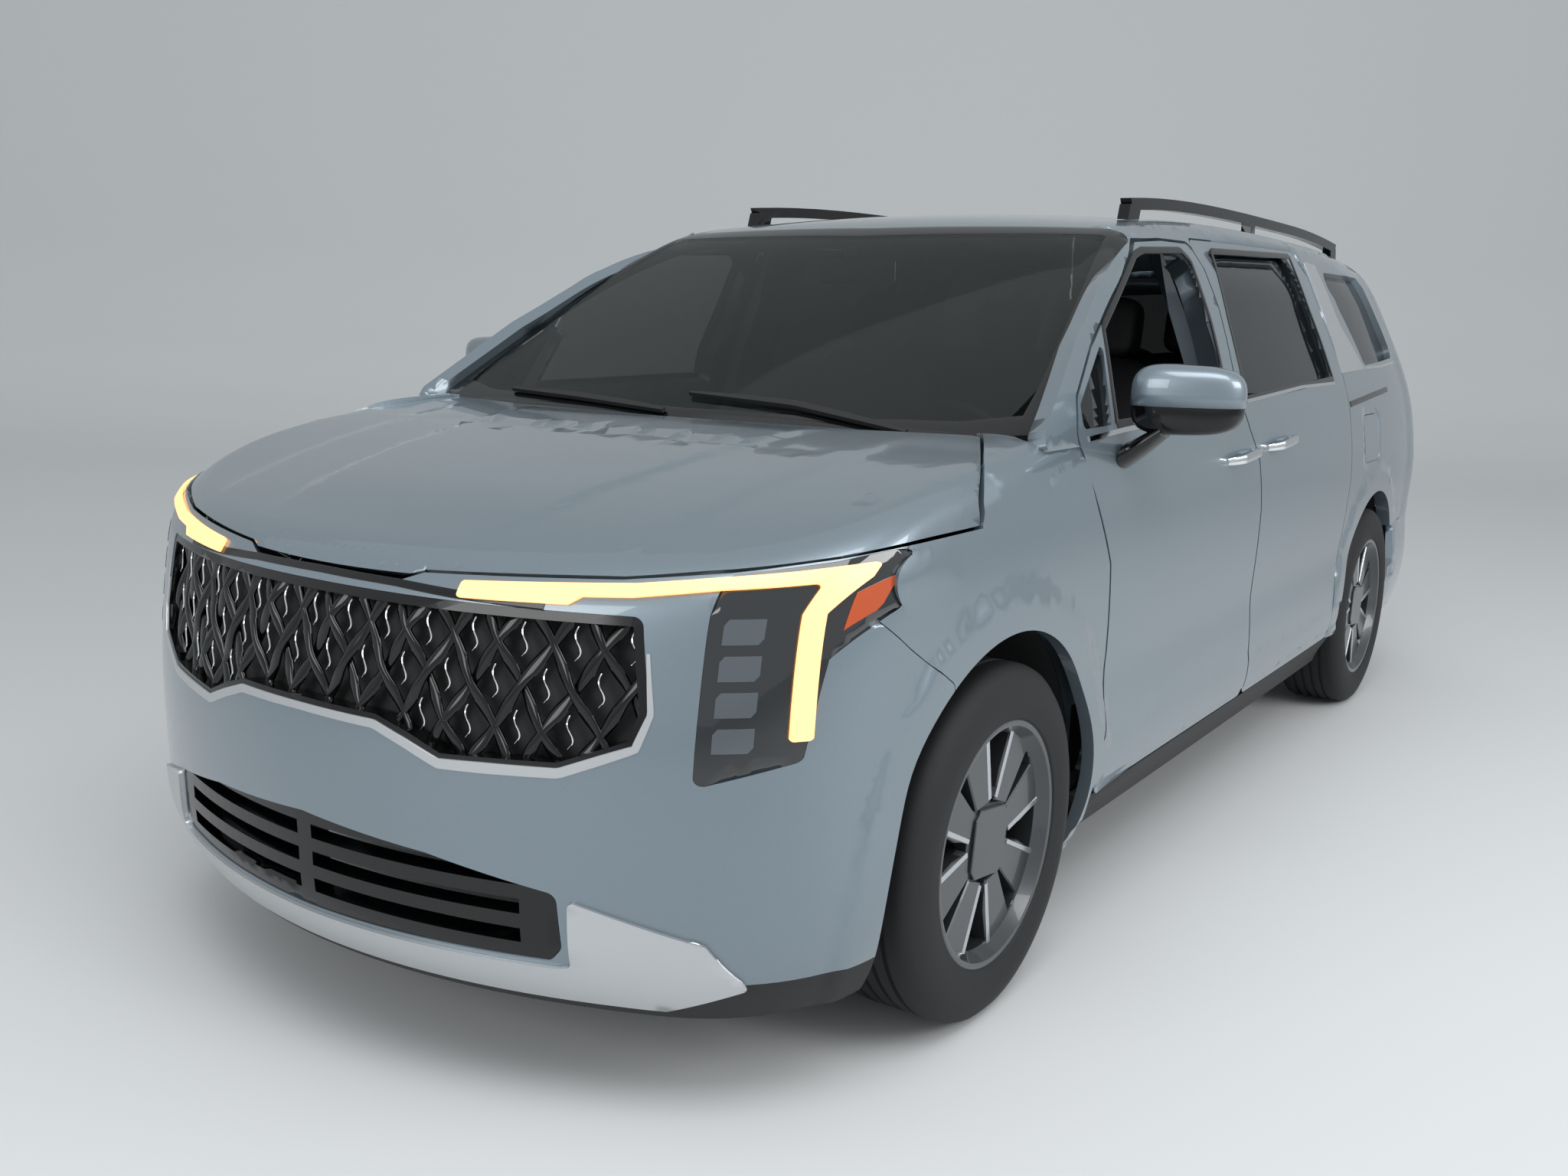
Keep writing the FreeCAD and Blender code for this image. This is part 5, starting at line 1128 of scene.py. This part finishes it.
# Floor, lights and camera
# The photograph's camera: heading, tilt and roll, lens in millimetres, place in metres
azimuth, elevation, roll = math.radians(214.52), math.radians(-11.13), math.radians(1.32)
sensor_width = 36
focal_length = 32.31
eye_place = (4.121, 2.139, 1.42)

floor_mesh = bpy.data.meshes.new("studio_floor")
reach = 30.0
profile = np.array(
    [(12.0, 0.0), (-8.0, 0.0), (-9.0, 0.08), (-9.8, 0.4), (-10.3, 1.0), (-10.5, 2.0), (-10.5, 16.0)]
)
direction = np.array([math.cos(azimuth), math.sin(azimuth), 0.0])
sideways = np.array([-direction[1], direction[0], 0.0])
floor_points = []
for d, z in profile:
    for s in (-reach, reach):
        floor_points.append(tuple(-direction * d + sideways * s + np.array([0, 0, z])))
floor_mesh.from_pydata(floor_points, [], [tuple(f) for f in grid_faces(len(profile), 2)])
floor = bpy.data.objects.new("studio_floor", floor_mesh)
bpy.context.collection.objects.link(floor)
floor_mesh.materials.append(finish("painted_studio_floor", "#d6d8d9", 0.55))
floor_mesh.shade_smooth()

sky_strength = 0.8
world = bpy.data.worlds.new("studio")
bpy.context.scene.world = world
world.use_nodes = True
world.node_tree.nodes["Background"].inputs[0].default_value = linear("#dfe3e6")
world.node_tree.nodes["Background"].inputs[1].default_value = sky_strength


def lamp(name, place, size, power, aim=(0.0, 0.0, 0.8)):
    """Area light of a size in metres, aimed at a point."""
    light = bpy.data.lights.new(name, "AREA")
    light.shape = "RECTANGLE"
    light.size, light.size_y = size
    light.energy = power
    obj = bpy.data.objects.new(name, light)
    bpy.context.collection.objects.link(obj)
    obj.location = place
    away = np.array(place) - np.array(aim)
    obj.rotation_euler = Vector(away).to_track_quat("Z", "Y").to_euler()


lamp("overhead", (3.2, 2.6, 5.2), (5.0, 2.4), 150)
lamp("key_side", (0.0, 6.5, 3.5), (5.0, 2.0), 170)
lamp("front_fill", (7.0, -0.5, 2.6), (3.0, 2.0), 70)

level = math.cos(elevation)
forward = np.array([level * math.cos(azimuth), level * math.sin(azimuth), math.sin(elevation)])
right = np.cross(forward, [0, 0, 1])
right /= np.linalg.norm(right)
above = np.cross(right, forward)
c, s = math.cos(roll), math.sin(roll)
right, above = right * c + above * s, above * c - right * s
camera = bpy.data.cameras.new("photo_camera")
camera.sensor_width = sensor_width
camera.lens = focal_length
eye = bpy.data.objects.new("photo_camera", camera)
bpy.context.collection.objects.link(eye)
turned_frame = Matrix([[right[i], above[i], -forward[i]] for i in range(3)]).to_4x4()
turned_frame.translation = eye_place
eye.matrix_world = turned_frame
bpy.context.scene.camera = eye
bpy.context.scene.view_settings.view_transform = "Standard"
